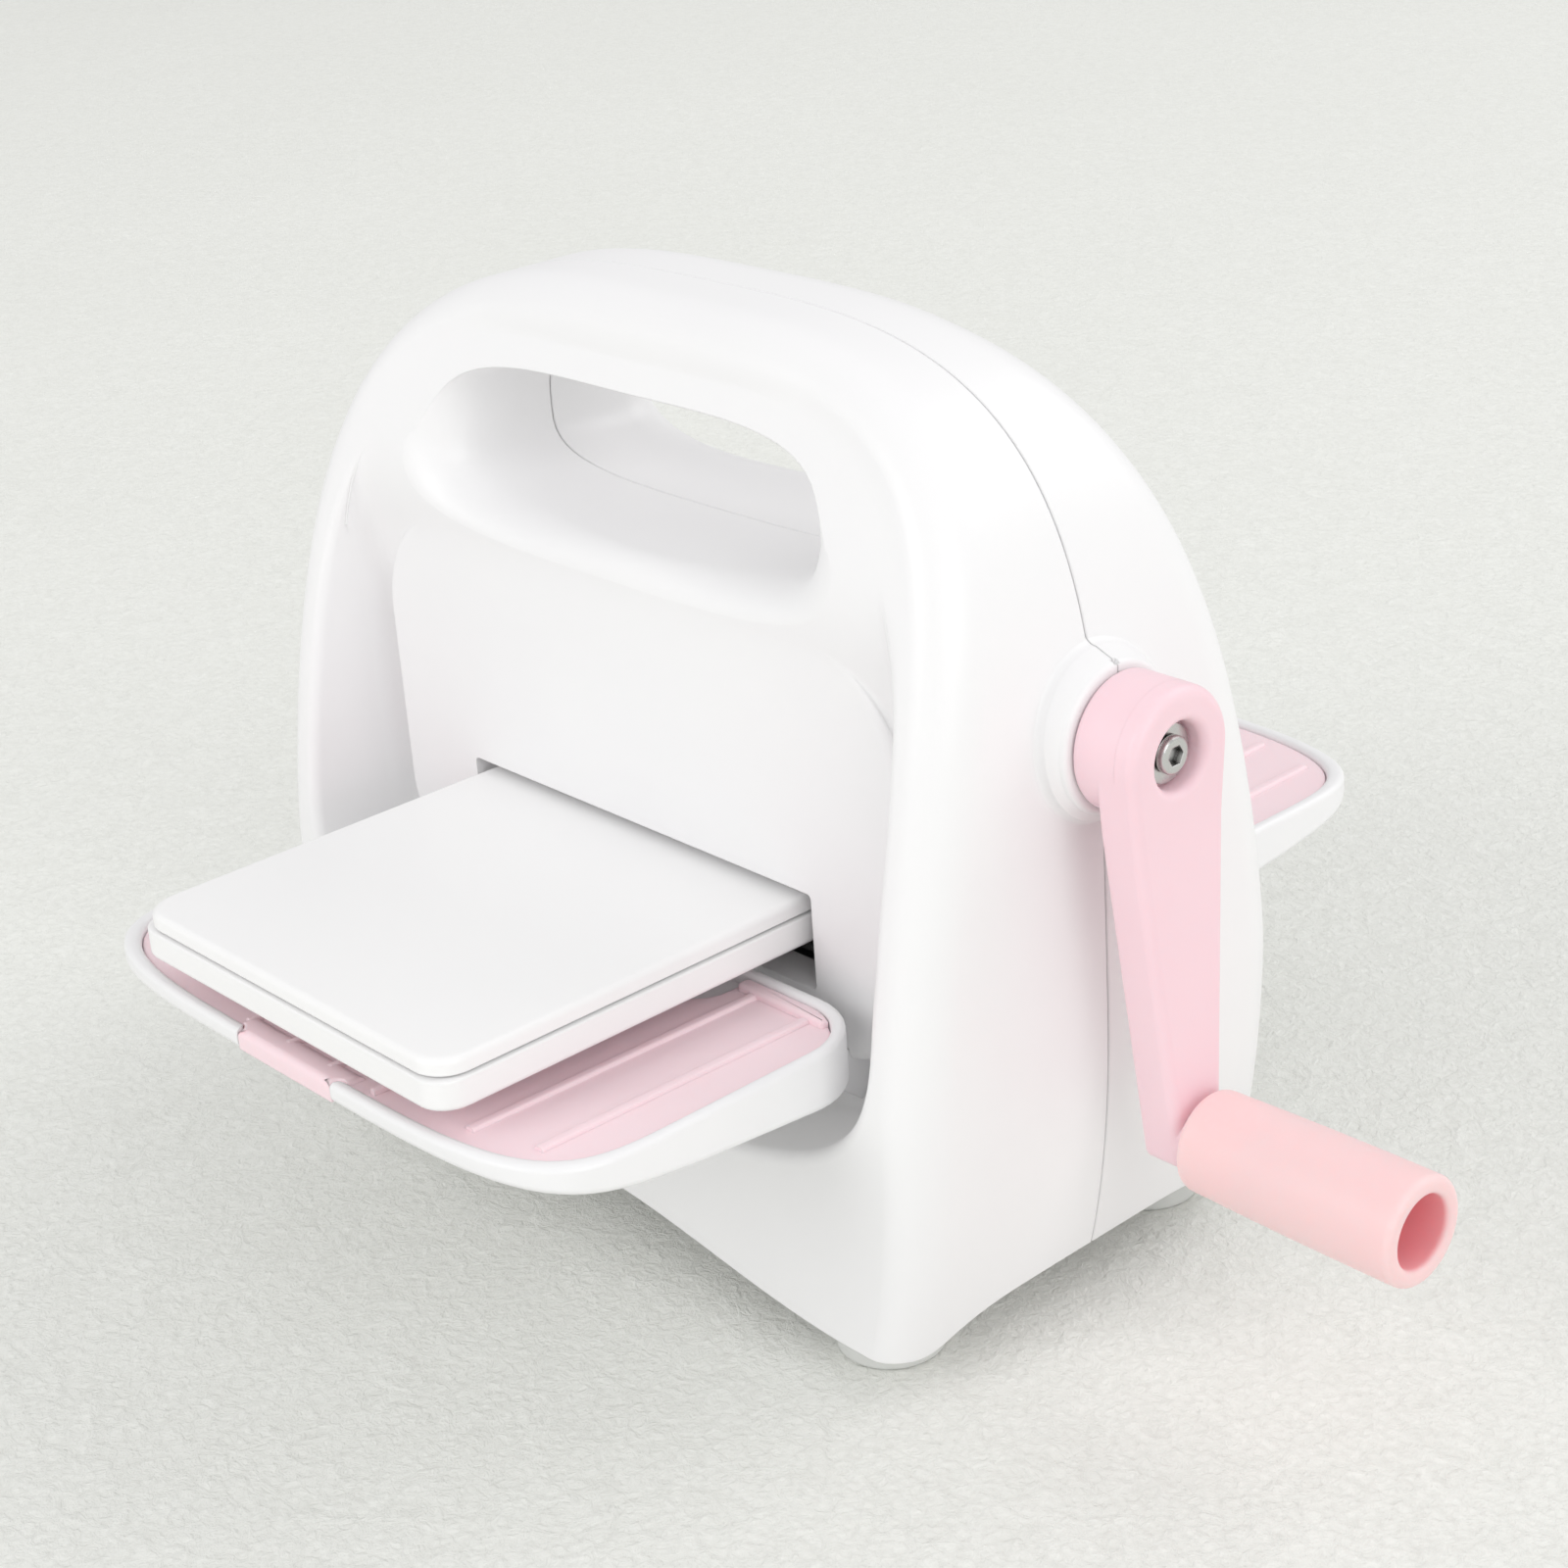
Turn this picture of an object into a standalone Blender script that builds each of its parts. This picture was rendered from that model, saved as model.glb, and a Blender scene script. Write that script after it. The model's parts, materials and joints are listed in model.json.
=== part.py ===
"""Hand cranked die cutting machine with two fold-out trays, built as separate pieces.

Metres, +Z up, +X towards the crank, +Y towards the back, resting on the plane Z = 0.
The parting line of the housing is the plane Y = 0. All pieces hang on one empty, which
moves the machine sideways so that its overall box is centred on X = 0.
"""

import math

import bmesh
import bpy
from mathutils import Matrix, Vector

# Driving sizes: the stack of plates
plate_width = 0.0760
plate_length = 0.1100
base_plate_thickness = 0.0047
top_plate_thickness = 0.0026
plate_underside_z = 0.0568
plate_reach = 0.0896
plate_corner_radius = 0.0032
plate_edge_round = 0.0007
top_plate_inset = 0.0004

# Fits
clearance = 0.0003
running_clearance = 0.0003
overrun = 0.0020

# Rollers, gears and crank shaft
roller_radius = 0.0080
journal_radius = 0.0040
journal_chamfer = 0.0005
roller_gear_teeth = 20
pinion_teeth = 14
gear_width = 0.0060
journal_end_stand = 0.0016
gear_bore_radius = journal_radius + clearance
addendum_share = 0.80
dedendum_share = 1.05
backlash = 0.00028
pressure_angle = math.radians(20)
crank_shaft_radius = 0.0040

plate_top_z = plate_underside_z + base_plate_thickness + clearance + top_plate_thickness
upper_roller_z = plate_top_z + clearance + roller_radius
lower_roller_z = plate_underside_z - clearance - roller_radius
gear_module = (upper_roller_z - lower_roller_z) / roller_gear_teeth
crank_z = upper_roller_z + gear_module * (roller_gear_teeth + pinion_teeth) / 2

# Side frames and what they carry
roller_side_room = 0.0040
roller_end_gap = 0.0015
roller_half_length = plate_width / 2 + roller_side_room
frame_inner_x = roller_half_length + roller_end_gap
frame_thickness = 0.0025
frame_outer_x = frame_inner_x + frame_thickness
frame_gear_gap = 0.0025
gear_inner_x = frame_outer_x + frame_gear_gap
gear_outer_x = gear_inner_x + gear_width
bush_wall = 0.0016
bush_flange_extra = 0.0014
bush_flange_thickness = 0.0010
frame_corner_radius = 0.0040
frame_foot_height = 0.0110
frame_top_margin = 0.0115
tie_rod_radius = 0.0035
tie_rod_spigot_radius = 0.0020
tie_rod_spigot_stand = 0.0012
tie_rod_y = 0.0112
lower_tie_rod_drop = 0.0245
upper_tie_rod_drop = 0.0043
lower_tie_rod_z = lower_roller_z - lower_tie_rod_drop
upper_tie_rod_z = crank_z - upper_tie_rod_drop

# Heights of the housing: the frames, the tunnel for the fingers, and the bar of the handle
tunnel_floor_room = 0.0050
tunnel_height = 0.0227
handle_bar_height = 0.0132
tunnel_floor_z = crank_z + frame_top_margin + tunnel_floor_room
tunnel_roof_z = tunnel_floor_z + tunnel_height
body_height = tunnel_roof_z + handle_bar_height

# Housing outline, seen from the front
body_side_room = 0.0215
body_half_width = gear_outer_x + body_side_room
arch_centre_z = 0.0519
arch_side_power = 3.35
arch_top_power = 4.11
tuck_depth = 0.0930
tuck_power = 2.20
corner_z = 0.0055
front_arch_rise = 0.0065
front_arch_side_room = 0.0140
front_arch_half = body_half_width - front_arch_side_room
front_arch_power = 1.0
side_arch_rise = 0.0037
side_arch_room = 0.0038
side_arch_power = 3.0

# Housing outline, seen from the side: the tie rods, the well in front of them, and its depth
wall = 0.0025
well_floor_room = 0.0023
well_depth = 0.0203
well_floor_y = tie_rod_y + tie_rod_radius + well_floor_room + wall
body_half_depth = well_floor_y + well_depth
side_arch_half = body_half_depth - side_arch_room
lean_start_z = 0.0450
lean_back = 0.0240
lean_power = 1.5
outer_fillet = 0.0085

# Well that takes the folded tray
well_side_room = 0.0095
well_half_width = body_half_width - well_side_room
well_centre_z = 0.0600
well_top_room = 0.0097
well_up = body_height - well_top_room - well_centre_z
well_down = 0.0315
well_up_power = 3.6
well_down_power = 3.0
well_rim_round = 0.0030
well_rim_sweep = math.radians(75)

# Raised panel round the slot
panel_rise = 0.0040
panel_face_y = well_floor_y + panel_rise
panel_side_room = 0.0075
panel_half_width = well_half_width - panel_side_room
panel_bottom_drop = 0.0068
panel_bottom_z = plate_underside_z - panel_bottom_drop
panel_top_drop = 0.0033
panel_top_z = tunnel_floor_z - panel_top_drop
panel_top_corner = 0.0180
panel_bottom_corner = 0.0040
panel_edge_round = 0.0012
slot_side_room = 0.0020
slot_top_room = 0.0014
slot_half_width = plate_width / 2 + slot_side_room
slot_top_z = plate_top_z + slot_top_room
slot_bottom_z = panel_bottom_z

# Ramp of the well's floor, which comes forward until it is level with the panel and the face
ramp_level_drop = 0.0058
ramp_run = 0.0280
ramp_power = 2.0
ramp_blend = 0.0050
ramp_level_z = tunnel_floor_z - ramp_level_drop
ramp_start_z = ramp_level_z - ramp_run

# Tunnel of the handle
tunnel_side_room = 0.0348
tunnel_half_width = body_half_width - tunnel_side_room
tunnel_middle_share = 0.43
tunnel_middle_z = tunnel_floor_z + tunnel_middle_share * tunnel_height
tunnel_side_flare = 0.0095
tunnel_side_depth = 0.0195
tunnel_floor_flare = 0.0045
tunnel_roof_flare = 0.0070
tunnel_roof_depth = 0.0178
tunnel_power = 3.4

# Crank boss on the housing
boss_base_radius = 0.0124
boss_end_radius = 0.0112
boss_stand = 0.0030
boss_end_x = body_half_width + boss_stand
boss_root = 0.0042
sleeve_length = 0.0080
sleeve_radius = 0.0095
boss_bush_outer = crank_shaft_radius + running_clearance + bush_wall

# Screws that join the two shells
screw_radius = 0.00125
screw_head_radius = 0.00225
screw_head_height = 0.0018
screw_socket_radius = 0.0010
screw_socket_depth = 0.0010
screw_side_room = 0.0135
screw_x = body_half_width - screw_side_room
lower_screw_z = 0.0200
upper_screw_drop = 0.0257
upper_screw_z = body_height - upper_screw_drop
screw_seat_y = 0.0080
screw_reach = 0.0090
screw_hole_extra_depth = 0.0030
screw_boss_radius = 0.0036
lower_post_short = 0.0012
upper_post_short = 0.0045
counterbore_radius = 0.0026

# Feet
foot_side_room = 0.0185
foot_face_room = 0.0111
foot_x = body_half_width - foot_side_room
foot_y = body_half_depth - foot_face_room
foot_radius = 0.0083
foot_round = 0.0008
foot_height = 0.0050
foot_stud_radius = 0.0028
foot_stud_height = 0.0045
foot_pad_radius = 0.0092

# Trays
hinge_stand = 0.0113
hinge_below_plates = 0.0103
hinge_y = well_floor_y + hinge_stand
hinge_z = plate_underside_z - hinge_below_plates
tray_side_room = 0.0085
tray_half_width = well_half_width - tray_side_room
tray_hinge_setback = 0.0030
tray_depth = 0.0624
tray_near_y = hinge_y - tray_hinge_setback
tray_far_y = tray_near_y + tray_depth
tray_far_power = 4.0
tray_far_depth = 0.0280
tray_near_corner = 0.0120
tray_rim_rise = 0.0065
tray_rim_z = hinge_z + tray_rim_rise
tray_rim_width = 0.0018
tray_rim_round = 0.0008
tray_near_bottom_drop = 0.0031
tray_far_bottom_rise = 0.0032
tray_near_bottom_z = hinge_z - tray_near_bottom_drop
tray_far_bottom_z = hinge_z + tray_far_bottom_rise
tray_bottom_power = 1.75
tray_skirt = 0.0018
tray_floor_rise = 0.0041
tray_floor_top_z = hinge_z + tray_floor_rise
tray_floor_thickness = 0.0015
knuckle_radius = 0.0030
knuckle_side_room = 0.0240
knuckle_inner_x = tray_half_width - knuckle_side_room
knuckle_length = 0.0070
ear_length = 0.0050
ear_radius = 0.0032
ear_back_drop = 0.0029
ear_root_top_drop = 0.0050
ear_root_height = 0.0105
ear_root_top_z = hinge_z - ear_root_top_drop
ear_root_bottom_z = ear_root_top_z - ear_root_height
hinge_pin_radius = 0.00125
ear_notch_room = 0.0006

# Tray inserts
insert_near_thickness = 0.0008
insert_far_thickness = 0.0017
insert_lip_thickness = 0.0026
insert_lip_rise = 0.0020
insert_near_top_z = tray_floor_top_z + insert_near_thickness
insert_far_top_z = tray_floor_top_z + insert_far_thickness
insert_lip_top_z = tray_floor_top_z + insert_lip_rise
insert_rib_width = 0.0018
insert_rib_height = 0.0005
insert_rib_inner_room = 0.0219
insert_rib_outer_room = 0.0107
insert_rib_near_room = 0.0042
insert_rib_inner_far_room = 0.0061
insert_rib_outer_far_room = 0.0091
insert_rib_inner_x = tray_half_width - insert_rib_inner_room
insert_rib_outer_x = tray_half_width - insert_rib_outer_room
insert_rib_near_y = tray_near_y + insert_rib_near_room
insert_rib_inner_far_y = tray_far_y - insert_rib_inner_far_room
insert_rib_outer_far_y = tray_far_y - insert_rib_outer_far_room
insert_notch_half_width = 0.0320
insert_notch_depth = 0.0122
insert_notch_corner = 0.0060
insert_notch_mouth_round = 0.0004
tab_half_width = 0.0118
tab_setback = 0.0012
tab_corner_round = 0.0009
tab_gap_rise = 0.0004
tab_gap_z = tray_floor_top_z + tab_gap_rise

# Crank arm
arm_hub_radius = 0.0100
arm_hub_inner_x = boss_end_x + clearance
arm_hub_length = 0.0109
arm_face_x = arm_hub_inner_x + arm_hub_length
arm_thickness = 0.0070
arm_edge_round = 0.0013
arm_top_width = 0.0190
arm_tip_width = 0.0092
arm_length = 0.0573
arm_tip_below = 0.0041
arm_lean_start = 0.0100
arm_lean = math.radians(3.4)
arm_collar_radius = 0.0048
arm_recess_depth = 0.0037
arm_web_thickness = 0.0030
arm_web_outer_x = arm_face_x - arm_recess_depth
arm_web_inner_x = arm_web_outer_x - arm_web_thickness
washer_radius = 0.0044
washer_thickness = 0.0008
crank_screw_radius = 0.0015
crank_screw_head_radius = 0.00275
crank_screw_head_height = 0.0012
crank_screw_reach = 0.0100
hex_socket_radius = 0.00155
hex_socket_depth = 0.0008
recess_radius = 0.0049
recess_mouth_radius = 0.0060
recess_mouth_depth = 0.0010

# Grip
grip_stand = 0.0041
grip_length = 0.0367
grip_inner_x = arm_face_x + grip_stand
grip_end_x = grip_inner_x + grip_length
grip_inner_radius = 0.0076
grip_outer_radius = 0.0081
grip_round = 0.0009
grip_bore_radius = 0.0054
grip_bore_depth = 0.0260
grip_screw_radius = 0.0022
grip_screw_head_radius = 0.0040
grip_screw_head_height = 0.0028

# Counts that set how finely round shapes are cut
sharp_angle = math.radians(32)
arch_count = 20
fillet_count = 3
inner_arch_count = 15
inner_fillet_count = 2
well_count = 34
inner_count = 22
tunnel_count = 26
tunnel_steps = 4
ramp_steps = 8
panel_corner_count = 6
panel_edge_count = 2
corner_count = 5
fine_chain_count = 240
side_chain_count = 60
tray_bow_count = 23
under_arch_count = 14
round_steps = 20
fine_steps = 28
small_steps = 12
hexagon_sides = 6

# Names of shared values
well_powers = (well_up_power, well_down_power)
seam = clearance / 2
far_y = body_half_depth + outer_fillet
axis_to_x = Matrix.Rotation(math.pi / 2, 4, "Y")
axis_to_y = Matrix.Rotation(-math.pi / 2, 4, "X")
sideways_shift = (body_half_width - grip_end_x) / 2


# Scene
for old in list(bpy.data.objects):
    bpy.data.objects.remove(old, do_unlink=True)
pieces = bpy.data.collections.new("die_cutting_machine")
cutters = bpy.data.collections.new("cutters")
bpy.context.scene.collection.children.link(pieces)
bpy.context.scene.collection.children.link(cutters)
cutters.hide_render = True
machine = bpy.data.objects.new("machine", None)
machine.location.x = sideways_shift
pieces.objects.link(machine)


def material(name, colour, roughness, metallic=0.0):
    made = bpy.data.materials.new(name)
    made.use_nodes = True
    shader = made.node_tree.nodes["Principled BSDF"]
    shader.inputs["Base Color"].default_value = (*colour, 1.0)
    shader.inputs["Roughness"].default_value = roughness
    shader.inputs["Metallic"].default_value = metallic
    made.diffuse_color = (*colour, 1.0)
    return made


white_plastic = material("white_plastic", (0.90, 0.90, 0.91), 0.38)
tray_plastic = material("tray_plastic", (0.90, 0.90, 0.91), 0.35)
pink_plastic = material("pink_plastic", (0.92, 0.56, 0.64), 0.40)
grip_plastic = material("grip_plastic", (0.98, 0.58, 0.56), 0.45)
plate_plastic = material("plate_plastic", (0.88, 0.88, 0.88), 0.32)
steel = material("steel", (0.60, 0.60, 0.61), 0.28, 1.0)
frame_steel = material("frame_steel", (0.48, 0.49, 0.50), 0.42, 1.0)
gear_steel = material("gear_steel", (0.40, 0.40, 0.42), 0.36, 1.0)
bronze = material("bronze", (0.70, 0.46, 0.22), 0.38, 1.0)
foot_rubber = material("foot_rubber", (0.80, 0.81, 0.80), 0.55)


# Helpers
def add(name, mesh, finish=None, place=Matrix(), parent=None):
    """Puts a mesh in the scene as a piece, or as a cutter where it has no finish."""
    obj = bpy.data.objects.new(name, mesh)
    (pieces if finish else cutters).objects.link(obj)
    obj.parent = parent or machine
    obj.matrix_local = place
    if finish:
        mesh.materials.append(finish)
    else:
        obj.hide_render = True
        obj.display_type = "WIRE"
    return obj


def boolean(obj, other, operation="DIFFERENCE"):
    made = obj.modifiers.new(operation.lower(), "BOOLEAN")
    made.operation = operation
    made.solver = "EXACT"
    made.object = other


def bent(face):
    """Whether an outline of many points leaves its own plane, as a curved underside does."""
    middle = face.calc_center_median()
    return max(abs((v.co - middle).dot(face.normal)) for v in face.verts) > clearance / 30


def finished(build, name):
    build.normal_update()
    curved = [face for face in build.faces if len(face.verts) > 4 and bent(face)]
    bmesh.ops.triangulate(build, faces=curved)
    mesh = bpy.data.meshes.new(name)
    bmesh.ops.recalc_face_normals(build, faces=build.faces)
    build.to_mesh(mesh)
    build.free()
    return mesh


def loft(name, rings):
    """A closed solid through rings of points, each ring with as many points as the next."""
    build = bmesh.new()
    loops = [[build.verts.new(point) for point in ring] for ring in rings]
    for first, second in zip(loops, loops[1:]):
        for i in range(len(first)):
            j = (i + 1) % len(first)
            build.faces.new((first[i], first[j], second[j], second[i]))
    build.faces.new(loops[0])
    build.faces.new(list(reversed(loops[-1])))
    return finished(build, name)


def block(name, low, high):
    """A box between two corners."""
    build = bmesh.new()
    size = Vector(high) - Vector(low)
    middle = (Vector(high) + Vector(low)) / 2
    place = Matrix.Translation(middle) @ Matrix.Diagonal((*size, 1.0))
    bmesh.ops.create_cube(build, size=1.0, matrix=place)
    return finished(build, name)


def round_bar(name, radius, start, end, steps=round_steps, end_radius=None):
    """A round bar or cone from start to end, two points."""
    build = bmesh.new()
    run = Vector(end) - Vector(start)
    turn = run.to_track_quat("Z", "Y").to_matrix().to_4x4()
    place = Matrix.Translation((Vector(start) + Vector(end)) / 2) @ turn
    bmesh.ops.create_cone(
        build,
        cap_ends=True,
        segments=steps,
        radius1=radius,
        radius2=radius if end_radius is None else end_radius,
        depth=run.length,
        matrix=place,
    )
    return finished(build, name)


def turned(name, profile, steps, finish, place, closed=False, parent=None):
    """A turned piece. The profile is (radius, height), down the outer side from the top."""
    build = bmesh.new()
    points = [build.verts.new((radius, 0, height)) for radius, height in profile]
    ends = points[1:] + ([points[0]] if closed else [])
    for first, second in zip(points, ends):
        build.edges.new((first, second))
    mesh = bpy.data.meshes.new(name)
    build.to_mesh(mesh)
    build.free()
    obj = add(name, mesh, finish, place, parent)
    screw = obj.modifiers.new("turn", "SCREW")
    screw.axis = "Z"
    screw.angle = 2 * math.pi
    screw.steps = steps
    screw.render_steps = steps
    screw.use_merge_vertices = True
    screw.merge_threshold = 0.00001
    screw.use_smooth_shade = False
    return obj


def flat_outline(name, loops, thickness):
    """A plate cut to outlines in its local XY plane, the first outline its edge, the rest holes."""
    curve = bpy.data.curves.new(name, "CURVE")
    curve.dimensions = "2D"
    curve.fill_mode = "BOTH"
    curve.extrude = thickness / 2
    for loop in loops:
        spline = curve.splines.new("POLY")
        spline.points.add(len(loop) - 1)
        for point, (x, y) in zip(spline.points, loop):
            point.co = (x, y, 0, 1)
        spline.use_cyclic_u = True
    guide = bpy.data.objects.new(name, curve)
    bpy.context.scene.collection.objects.link(guide)
    graph = bpy.context.evaluated_depsgraph_get()
    mesh = bpy.data.meshes.new_from_object(guide.evaluated_get(graph))
    bpy.data.objects.remove(guide)
    build = bmesh.new()
    build.from_mesh(mesh)
    bmesh.ops.remove_doubles(build, verts=build.verts, dist=clearance / 100)
    bmesh.ops.recalc_face_normals(build, faces=build.faces)
    build.to_mesh(mesh)
    build.free()
    mesh.name = name
    return mesh


def circle(centre, radius, count, start=0.0, sweep=2 * math.pi, whole=True):
    """Points of a circle, or of an arc where it isn't whole."""
    parts = count if whole else count - 1
    angles = [start + sweep * i / parts for i in range(count)]
    return [
        (centre[0] + radius * math.cos(a), centre[1] + radius * math.sin(a))
        for a in angles
    ]


def rounded_outline(half_width, low, high, low_radius, high_radius, count=corner_count):
    """A box outline, symmetric about 0, with its corners rounded, from lower left round."""
    quarter = math.pi / 2
    corners = (
        (-half_width + low_radius, low + low_radius, low_radius, 2 * quarter),
        (half_width - low_radius, low + low_radius, low_radius, 3 * quarter),
        (half_width - high_radius, high - high_radius, high_radius, 0.0),
        (-half_width + high_radius, high - high_radius, high_radius, quarter),
    )
    outline = []
    for x, y, radius, start in corners:
        outline += circle((x, y), radius, count, start, quarter, whole=False)
    return outline


def superellipse(half_width, up, down, centre, powers, count):
    """A round-cornered outline with unlike upper and lower halves, evenly spaced."""
    fine = []
    for i in range(count * 12):
        a = 2 * math.pi * i / (count * 12)
        power = powers[0] if a < math.pi else powers[1]
        x = math.copysign(abs(math.cos(a)) ** (2 / power), math.cos(a))
        y = math.copysign(abs(math.sin(a)) ** (2 / power), math.sin(a))
        fine.append((half_width * x, centre + (up if y > 0 else down) * y))
    return evenly(fine + fine[:1], count + 1)[:-1]


def evenly(points, count):
    """Count points at equal steps along a chain of points, its ends kept."""
    steps = [math.dist(a, b) for a, b in zip(points, points[1:])]
    total = sum(steps)
    chosen = []
    run = 0.0
    i = 0
    for k in range(count):
        want = total * k / (count - 1)
        while i < len(steps) - 1 and run + steps[i] < want:
            run += steps[i]
            i += 1
        share = (want - run) / steps[i] if steps[i] else 0.0
        share = min(max(share, 0.0), 1.0)
        a, b = points[i], points[i + 1]
        chosen.append(tuple(p + (q - p) * share for p, q in zip(a, b)))
    return chosen


def normals(outline, closed=True):
    """Unit normals of an outline that runs anticlockwise, pointing out of it."""
    count = len(outline)
    found = []
    for i in range(count):
        before = outline[i - 1] if closed or i else outline[0]
        after = outline[(i + 1) % count] if closed or i < count - 1 else outline[-1]
        run = Vector((after[0] - before[0], after[1] - before[1])).normalized()
        found.append((run.y, -run.x))
    return found


def grown(outline, amount):
    return [
        (x + amount * nx, z + amount * nz)
        for (x, z), (nx, nz) in zip(outline, normals(outline))
    ]


# Housing
def half_depth(z):
    """How far the front face stands from the parting line at this height."""
    rise = max(z - lean_start_z, 0.0) / (body_height - lean_start_z)
    return body_half_depth - lean_back * rise**lean_power


def arch_right(inset, bottom, count):
    """The right half of the housing's outline, from its bottom edge to the top, as (x, z)."""
    side = body_half_width - inset
    points = []
    for i in range(side_chain_count):
        z = bottom + (arch_centre_z - bottom) * i / side_chain_count
        tuck = ((arch_centre_z - z) / tuck_depth) ** tuck_power
        points.append((side * (1 - tuck) ** (1 / arch_side_power), z))
    top = body_height - inset
    for i in range(fine_chain_count + 1):
        a = math.pi / 2 * i / fine_chain_count
        across = max(math.cos(a), 0.0) ** (2 / arch_side_power)
        above = math.sin(a) ** (2 / arch_top_power)
        points.append((side * across, arch_centre_z + (top - arch_centre_z) * above))
    return evenly(points, count)


def housing_solid(name, side, inset, fillet, start, count, steps):
    """Half of the housing as a closed solid. Its face leans back, and its edge is rounded."""
    right = arch_right(inset, 0.0, count)
    outward = normals(right, closed=False)
    outward[-1] = (0.0, 1.0)
    rings = [[(x, start, z) for x, z in right]]
    for step in range(steps + 1):
        a = math.pi / 2 * step / steps
        pull = fillet * (1 - math.cos(a))
        ring = []
        for (x, z), (nx, nz) in zip(right, outward):
            drop = pull * nz if z > arch_centre_z else 0.0
            depth = half_depth(z) - inset - fillet * (1 - math.sin(a))
            ring.append((max(x - pull * nx, 0.0), depth, z - drop))
        rings.append(ring)
    build = bmesh.new()
    loops = []
    for ring in rings:
        half = [build.verts.new((x, side * y, z)) for x, y, z in ring]
        other = [build.verts.new((-x, side * y, z)) for x, y, z in ring[:-1]]
        loops.append(half + other[::-1])
    for first, second in zip(loops, loops[1:]):
        for i in range(len(first)):
            j = (i + 1) % len(first)
            build.faces.new((first[i], first[j], second[j], second[i]))
    build.faces.new(loops[0])
    last = loops[-1]
    for i in range(count - 1):
        left, next_left = last[-1 - i], last[-2 - i]
        if i == count - 2:
            build.faces.new((last[i], last[i + 1], left))
        else:
            build.faces.new((last[i], last[i + 1], next_left, left))
    return finished(build, name)


def well_solid(name, side):
    """The well that a folded tray lies in, with a rounded rim that follows the leaning face."""
    outline = superellipse(
        well_half_width, well_up, well_down, well_centre_z, well_powers, well_count
    )
    rings = [[(x, side * well_floor_y, z) for x, z in outline]]
    least = well_floor_y
    for step in range(fillet_count):
        a = well_rim_sweep * step / (fillet_count - 1)
        least += clearance
        spread = grown(outline, well_rim_round * (1 - math.cos(a)))
        ring = []
        for x, z in spread:
            depth = half_depth(z) - well_rim_round * (1 - math.sin(a))
            ring.append((x, side * max(depth, least), z))
        rings.append(ring)
    rings.append([(x, side * far_y, z) for x, z in grown(spread, clearance)])
    return loft(name, rings)


def well_floor(z):
    """How far the well's floor stands from the parting line. It comes forward to the face."""
    rise = max(z - ramp_start_z, 0.0) / ramp_run
    ramp = well_floor_y + panel_rise * rise**ramp_power
    face = half_depth(z) + clearance
    overlap = max(ramp_blend - abs(ramp - face), 0.0) / ramp_blend
    return min(ramp, face) - overlap**2 * ramp_blend / 4


def ramp_solid(name, side, drop):
    """What lies behind the well's floor where it comes forward, or behind its inner surface."""
    step = ramp_run / ramp_steps
    count = math.ceil((body_height + overrun - ramp_start_z) / step)
    curve = [(well_floor(ramp_start_z + step * i), ramp_start_z + step * i) for i in range(count + 1)]
    under = 2 * curve[0][0] - curve[1][0]
    curve = [(under, ramp_start_z - step)] + curve
    outline = [(0.0, curve[0][1])] + curve + [(0.0, curve[-1][1])]
    reach = body_half_width
    rings = [[(x, side * (y - drop), z) for y, z in outline] for x in (-reach, reach)]
    return loft(name, rings)


def tunnel_ring(depth, extra):
    """The tunnel's outline at this distance from the parting line, as (x, z)."""

    def flare(reach):
        return 1 - math.sqrt(1 - min(depth / reach, 1.0) ** 2)

    down = tunnel_middle_z - tunnel_floor_z + tunnel_floor_flare * flare(panel_face_y) + extra
    up = tunnel_roof_z - tunnel_middle_z + tunnel_roof_flare * flare(tunnel_roof_depth) + extra
    width = tunnel_half_width + tunnel_side_flare * flare(tunnel_side_depth) + extra
    powers = (tunnel_power, tunnel_power)
    return superellipse(width, up, down, tunnel_middle_z, powers, tunnel_count)


def tunnel_solid(name, side, extra, reach):
    """The tunnel that the fingers pass through, wider towards the face of the housing."""
    rings = [[(x, -side * overrun, z) for x, z in tunnel_ring(0.0, extra)]]
    for step in range(tunnel_steps + 1):
        share = math.sin(math.pi / 2 * step / tunnel_steps)
        depth = panel_face_y * share
        rings.append([(x, side * depth, z) for x, z in tunnel_ring(depth, extra)])
    last = grown(tunnel_ring(panel_face_y, extra), clearance)
    rings.append([(x, side * reach, z) for x, z in last])
    return loft(name, rings)


def panel_solid(name, side):
    """The raised panel round the slot, with rounded edges."""
    outline = rounded_outline(
        panel_half_width,
        panel_bottom_z,
        panel_top_z,
        panel_bottom_corner,
        panel_top_corner,
        panel_corner_count,
    )
    rings = [[(x, side * (well_floor_y - wall / 2), z) for x, z in outline]]
    for step in range(panel_edge_count + 1):
        a = math.pi / 2 * step / panel_edge_count
        inset = grown(outline, -panel_edge_round * (1 - math.cos(a)))
        y = side * (panel_face_y - panel_edge_round * (1 - math.sin(a)))
        rings.append([(x, y, z) for x, z in inset])
    return loft(name, rings)


def under_arch(name, half, rise, power, reach, lift, along_x):
    """What is cut from below the housing so that its lower edge arches between the corners."""
    count = under_arch_count
    top = []
    for i in range(count + 1):
        place = -half + 2 * half * i / count
        bend = math.pi * abs(place / half) ** power
        height = corner_z + lift + rise * (1 + math.cos(bend)) / 2
        top.append((place, height))
    outline = [(-far_y - half, -overrun), (far_y + half, -overrun)]
    outline += [(far_y + half, corner_z + lift)] + top[::-1]
    outline += [(-far_y - half, corner_z + lift)]
    if along_x:
        rings = [[(x, y, z) for y, z in outline] for x in (-reach, reach)]
    else:
        rings = [[(x, y, z) for x, z in outline] for y in (-reach, reach)]
    return loft(name, rings)


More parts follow.
